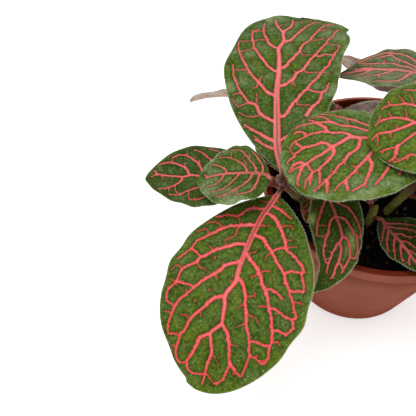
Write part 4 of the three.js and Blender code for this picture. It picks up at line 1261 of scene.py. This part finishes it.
def pot_paint():
    """Terracotta-brown plastic: faint clouds and fine level scratches on the wall, painted shade on
    the top of the lip and inside, and a painted reflection of the bright surroundings as a pale edge
    on the rim at the back."""
    paint = Paint("pot_plastic", Specular_IOR_Level=0.0)
    x, y, z = (paint.node("SeparateXYZ", {}, {"Vector": paint.place}, k) for k in range(3))
    radius = (x * x + y * y).root()
    clouds = paint.noise(14, 3.0).step(0.3, 0.7)
    wall = paint.blend(clouds, srgb(126, 74, 60), srgb(135, 79, 64))
    level = paint.node("Mapping", {}, {"Vector": paint.place, "Scale": (1, 1, 14)})
    streaks = paint.noise(9, 4.0, at=level).step(0.62, 0.72)
    wall = paint.blend(streaks * 0.25, wall, srgb(166, 104, 88))
    sides = paint.blend((z / MM).step(2.0, 30.0), srgb(124, 64, 48), wall)
    # Painted shade: the inside of the pot and the top of its lip are darkened, most deeply low down inside.
    inside = 1 - (radius / MM - z / MM * 0.276).step(29.9, 30.3)
    lip = (z / MM).step(77.3, 77.7) * (1 - (radius / MM).step(51.7, 52.1))
    dark = paint.blend((z / MM).step(60.0, 77.0), srgb(48, 18, 9), srgb(100, 38, 22))
    body = paint.blend((inside + lip).least(1.0), sides, dark)
    # Painted reflection: a pale band on the far rim, where the bright surroundings reflect.
    far = (radius / MM).step(50.4, 51.0) * (z / MM).step(76.0, 77.0) * (y / MM).step(10.0, 30.0)
    paint.set(Base_Color=paint.blend(far, body, srgb(228, 146, 132)),
              Roughness=clouds * 0.08 + 0.4 + streaks * 0.1)
    paint.bump(paint.noise(1.5, 3.0) + streaks * 0.4, 0.02)
    return paint.material


def stem_paint():
    """A stem: yellow-green low down, where the shoots are young, and brown above."""
    paint = Paint("stem_skin", Specular_IOR_Level=0.15)
    z = paint.node("SeparateXYZ", {}, {"Vector": paint.place}, 2)
    clouds = paint.noise(5, 3.0).step(0.3, 0.7)
    fresh = paint.blend(clouds, srgb(112, 112, 44), srgb(150, 148, 72))
    brown = paint.blend(clouds, srgb(74, 42, 32), srgb(104, 66, 46))
    height = z / MM + clouds * 4
    paint.set(Base_Color=paint.blend(height.step(82.0, 92.0), fresh, brown),
              Roughness=clouds * 0.1 + 0.45)
    paint.bump(paint.noise(1.0, 3.0), 0.05)
    return paint.material


LEAF_GREEN = leaf_paint()
POT_PLASTIC = pot_paint()
SOIL_EARTH = plain_paint("soil_earth", srgb(20, 15, 12), srgb(6, 4, 3), 2.5, 0.95, 0.5, 0.05)
STEM_SKIN = stem_paint()
HAIR_WHITE = plain_paint("hair_white", srgb(214, 214, 196), srgb(190, 190, 166), 5, 0.6, 0.01)
CRUMB_EARTH = plain_paint("crumb_earth", srgb(34, 25, 18), srgb(8, 6, 4), 1.5, 0.95, 0.1, 0.05)
PERLITE = plain_paint("perlite", srgb(98, 92, 80), srgb(56, 50, 42), 1.0, 0.9, 0.1, 0.1)
BARK = plain_paint("bark_fibre", srgb(84, 58, 36), srgb(40, 27, 17), 1.5, 0.9, 0.1, 0.1)
PAPER = Paint("floor_paper", Roughness=0.9, Specular_IOR_Level=0.1, Emission_Color=(1.0, 1.0, 1.0),
              Emission_Strength=FLOOR_GLOW).material


# Pot

def outer_radius(z):
    """Radius of the pot's outer wall under the lip at a height."""
    return mix(BASE_RADIUS, RIM_RADIUS - 1, z / POT_HEIGHT)


def rounded(corners, radii, steps=6):
    """A path through corners, each rounded by an arc: a quadratic curve between the points that lie
    its radius before and after the corner."""
    path = [corners[0]]
    for before, corner, after, radius in zip(corners[:-2], corners[1:-1], corners[2:], radii):
        before, corner, after = (np.array(p, float) for p in (before, corner, after))
        a = corner + unit(before - corner) * radius
        b = corner + unit(after - corner) * radius
        f = np.linspace(0, 1, steps)[:, None]
        path += list((1 - f) ** 2 * a + 2 * f * (1 - f) * corner + f ** 2 * b)
    path.append(corners[-1])
    return np.array(path, float)


def lathe(profile, sides):
    """Points and faces of a profile of radius and height turned about the pot's axis, closed where
    it meets the axis at both ends. Faces point away from a profile that runs up its outside."""
    turn = np.linspace(0, 2 * np.pi, sides, endpoint=False)
    rings = level_ring(profile[1:-1, :1], profile[1:-1, 1:], turn)
    return closed_rings(rings, [0, 0, profile[0, 1]], [0, 0, profile[-1, 1]])


def pot():
    """The pot: its wall's profile up the outside, over the lip and down the inside, turned about its
    axis, with round drainage holes cut through the floor."""
    foot = POT_HEIGHT - LIP_DEPTH
    corners = [(0, 0), (BASE_RADIUS, 0), (outer_radius(foot), foot), (RIM_RADIUS, foot + 0.3),
               (RIM_RADIUS, POT_HEIGHT), (RIM_RADIUS - LIP_WIDTH, POT_HEIGHT),
               (outer_radius(foot) - WALL, foot), (outer_radius(FLOOR) - WALL, FLOOR), (0, FLOOR)]
    radii = [BASE_ROUND, 0.25, 0.3, 0.9, 0.9, 1.5, 2.0]
    points, faces = lathe(rounded(corners, radii), POT_SIDES)
    piece = mesh_piece("fine_pot", points, faces, POT_PLASTIC, ["pot"])
    around = 2 * np.pi * np.arange(DRAIN_HOLES) / DRAIN_HOLES
    for place in level_ring(DRAIN_CIRCLE, 0, around) * MM:
        bpy.ops.mesh.primitive_cylinder_add(vertices=DRAIN_SIDES, radius=DRAIN_RADIUS * MM,
                                            depth=DRAIN_CUT * MM, location=place)
        cutter = bpy.context.active_object
        cut = piece.modifiers.new("drain", "BOOLEAN")
        cut.object = cutter
        cut.operation = "DIFFERENCE"
        cut.solver = "EXACT"
        bpy.context.view_layer.objects.active = piece
        bpy.ops.object.modifier_apply(modifier=cut.name)
        bpy.data.objects.remove(cutter)


def soil():
    """Soil: a polar sheet that rises from the wall to a low crown, with lumps from three sizes of
    waves, closed below by the pot's inside."""
    rng = np.random.default_rng(SOIL_SEED)
    edge = outer_radius(SOIL_EDGE) - WALL - SOIL_GAP
    lumps, grit, fines = waves(rng, 12, 0.15, 0.5), waves(rng, 16, 0.8, 2.0), waves(rng, 16, 2, 4)
    radius = np.linspace(0, 1, SOIL_RINGS)[1:, None] * edge
    turn = np.linspace(0, 2 * np.pi, SOIL_SIDES, endpoint=False)
    x, y = radius * np.cos(turn), radius * np.sin(turn)
    z = SOIL_CROWN - (SOIL_CROWN - SOIL_EDGE) * (radius / edge) ** 2 + 0.5 * lumps(x, y)
    z = z + 0.3 * grit(x, y) + 0.12 * fines(x, y)
    top = np.stack([x, y, z], -1)[::-1]
    foot = level_ring(BASE_RADIUS - BASE_ROUND - CLEAR, FLOOR + CLEAR, turn)
    low = [level_ring(outer_radius(h) - WALL - 2 * CLEAR, h, turn)
           for h in (BASE_ROUND + 0.6, SOIL_EDGE - 3)]
    rings = np.concatenate([np.array([foot, *low]), top])
    points, faces = closed_rings(rings, [0, 0, FLOOR + CLEAR], [0, 0, z[0].mean()])
    mesh_piece("fine_soil", points, faces, SOIL_EARTH, ["soil"])


def stem_piece(place, shoot):
    """A stem: circles carried along its curve, then a bud that narrows to a point."""
    f = np.linspace(0, 1, STEM_STEPS)
    centre, along = stem_point(shoot, f), stem_along(shoot, f)
    radius = stem_radius(shoot, f)
    past = np.array([0.8, 1.8, 3.0, 4.0, 4.7])
    bud = STEM_TOP * np.array([0.95, 0.9, 0.72, 0.45, 0.18])
    centre = np.vstack([centre, centre[-1] + past[:, None] * along[-1]])
    along = np.vstack([along, np.repeat(along[-1:], len(past), 0)])
    radius = np.append(radius, bud)
    side = unit(np.cross(np.array([0, 1, 0]), along))
    front = np.cross(along, side)
    turn = np.linspace(0, 2 * np.pi, STEM_SIDES, endpoint=False)
    ring = side[:, None] * np.cos(turn)[None, :, None] + front[:, None] * np.sin(turn)[None, :, None]
    rings = centre[:, None] + ring * radius[:, None, None]
    points, faces = closed_rings(rings, centre[0], centre[-1] + 0.3 * along[-1])
    mesh_piece(f"fine_stem_{place}", points, faces, STEM_SKIN, [f"stem_{place}"])


def grains(count, size, spread, sides, rng, stretch=(1, 1, 1), lift=0.0):
    """Crumbs strewn over the soil: low-sided balls, each stretched, dented by random factors and
    turned, with its middle about on the soil's surface. Size goes from small to large, mostly small."""
    edge = outer_radius(SOIL_EDGE) - WALL - SOIL_GAP
    lat = np.pi * np.arange(1, 4)[:, None] / 4
    ring = level_ring(np.sin(lat), np.cos(lat), 2 * np.pi * np.arange(sides) / sides)
    ball, skin = closed_rings(ring, [0, 0, 1], [0, 0, -1])
    n = len(ball)
    radius = size[0] + (size[1] - size[0]) * rng.uniform(0, 1, count) ** 3
    axes = radius[:, None] * np.array(stretch) * rng.uniform(0.7, 1.3, (count, 3))
    made = ball[None] * axes[:, None] * rng.uniform(0.8, 1.2, (count, n, 1))
    turn = np.linalg.qr(rng.normal(0, 1, (count, 3, 3)))[0]
    turn *= np.sign(np.linalg.det(turn))[:, None, None]
    made = np.einsum("kij,kpj->kpi", turn, made)
    far, angle = spread * np.sqrt(rng.uniform(0, 1, count)), rng.uniform(0, 2 * np.pi, count)
    far = np.minimum(far, edge - axes.max(1) * 1.25)
    x, y = far * np.cos(angle), far * np.sin(angle)
    z = SOIL_CROWN - (SOIL_CROWN - SOIL_EDGE) * (far / edge) ** 2 + lift * radius
    made = made + np.stack([x, y, z], -1)[:, None]
    first = n * np.arange(count)[:, None, None]
    return made.reshape(-1, 3), [(first + f[:, ::-1]).reshape(-1, f.shape[1]) for f in skin]


def soil_top():
    """What lies on the soil: dark crumbs, a few bits of perlite and some fibres of bark."""
    rng = np.random.default_rng(STREWN_SEED)
    reach = outer_radius(SOIL_EDGE) - WALL - 1
    strewn = dict(
        crumbs=(CRUMB_EARTH, CRUMBS, (0.35, 1.7), reach, 6, dict()),
        perlite=(PERLITE, PERLITE_BITS, (0.4, 1.1), reach, 6, dict(lift=0.3)),
        fibres=(BARK, FIBRES, (0.5, 1.0), reach - 3, 5, dict(stretch=(4.5, 0.5, 0.35), lift=0.4)),
    )
    for name, (material, count, size, spread, sides, more) in strewn.items():
        points, faces = grains(count, size, spread, sides, rng, **more)
        mesh_piece(f"soil_{name}", points, faces, material, smooth_faces=False)


pot()
soil()
soil_top()
for number, (place, shoot) in enumerate(SHOOTS.items()):
    stem_piece(place, shoot)
    skins = [leaf_piece(place, side) for side in shoot["leaves"]]
    hair_piece(place, skins, np.random.default_rng(HAIR_SEED + number))


# Floor, light and camera

def floor():
    """A large level disc under the pot."""
    turn = np.linspace(0, 2 * np.pi, FLOOR_SIDES, endpoint=False)
    ring = level_ring(FLOOR_RADIUS, 0, turn) * MM
    mesh = bpy.data.meshes.new("floor")
    mesh.from_pydata(ring.tolist(), [], [tuple(range(FLOOR_SIDES))])
    mesh.materials.append(PAPER)
    sheet = bpy.data.objects.new("floor", mesh)
    bpy.context.scene.collection.objects.link(sheet)


def aimed(name, data, place, aim):
    """A lamp or camera at a place, in metres, turned to look at another."""
    holder = bpy.data.objects.new(name, data)
    holder.location = place
    holder.rotation_euler = (Vector(aim) - Vector(place)).to_track_quat("-Z", "Y").to_euler()
    bpy.context.scene.collection.objects.link(holder)
    return holder


def lamp(name, place, size, power):
    """A round soft lamp of a size in metres and a power in watts."""
    light = bpy.data.lights.new(name, "AREA")
    light.shape = "DISK"
    light.size = size
    light.energy = power
    aimed(name, light, place, LIT_POINT)


def camera():
    """The camera, where the pot's rim puts the photographer's."""
    lens = bpy.data.cameras.new("camera")
    lens.lens = LENS
    lens.sensor_width = SENSOR
    lens.clip_start = 0.01
    bpy.context.scene.camera = aimed("camera", lens, Vector(EYE) * MM, Vector(AIM) * MM)


floor()
for name, (place, size, power) in LAMPS.items():
    lamp(name, place, size, power)
world = bpy.data.worlds.new("world")
bpy.context.scene.world = world
world.use_nodes = True
sky = world.node_tree.nodes["Background"]
sky.inputs["Color"].default_value = (1, 1, 1, 1)
sky.inputs["Strength"].default_value = WORLD_LIGHT
bpy.context.scene.view_settings.view_transform = "Standard"
bpy.context.scene.view_settings.look = "None"
camera()
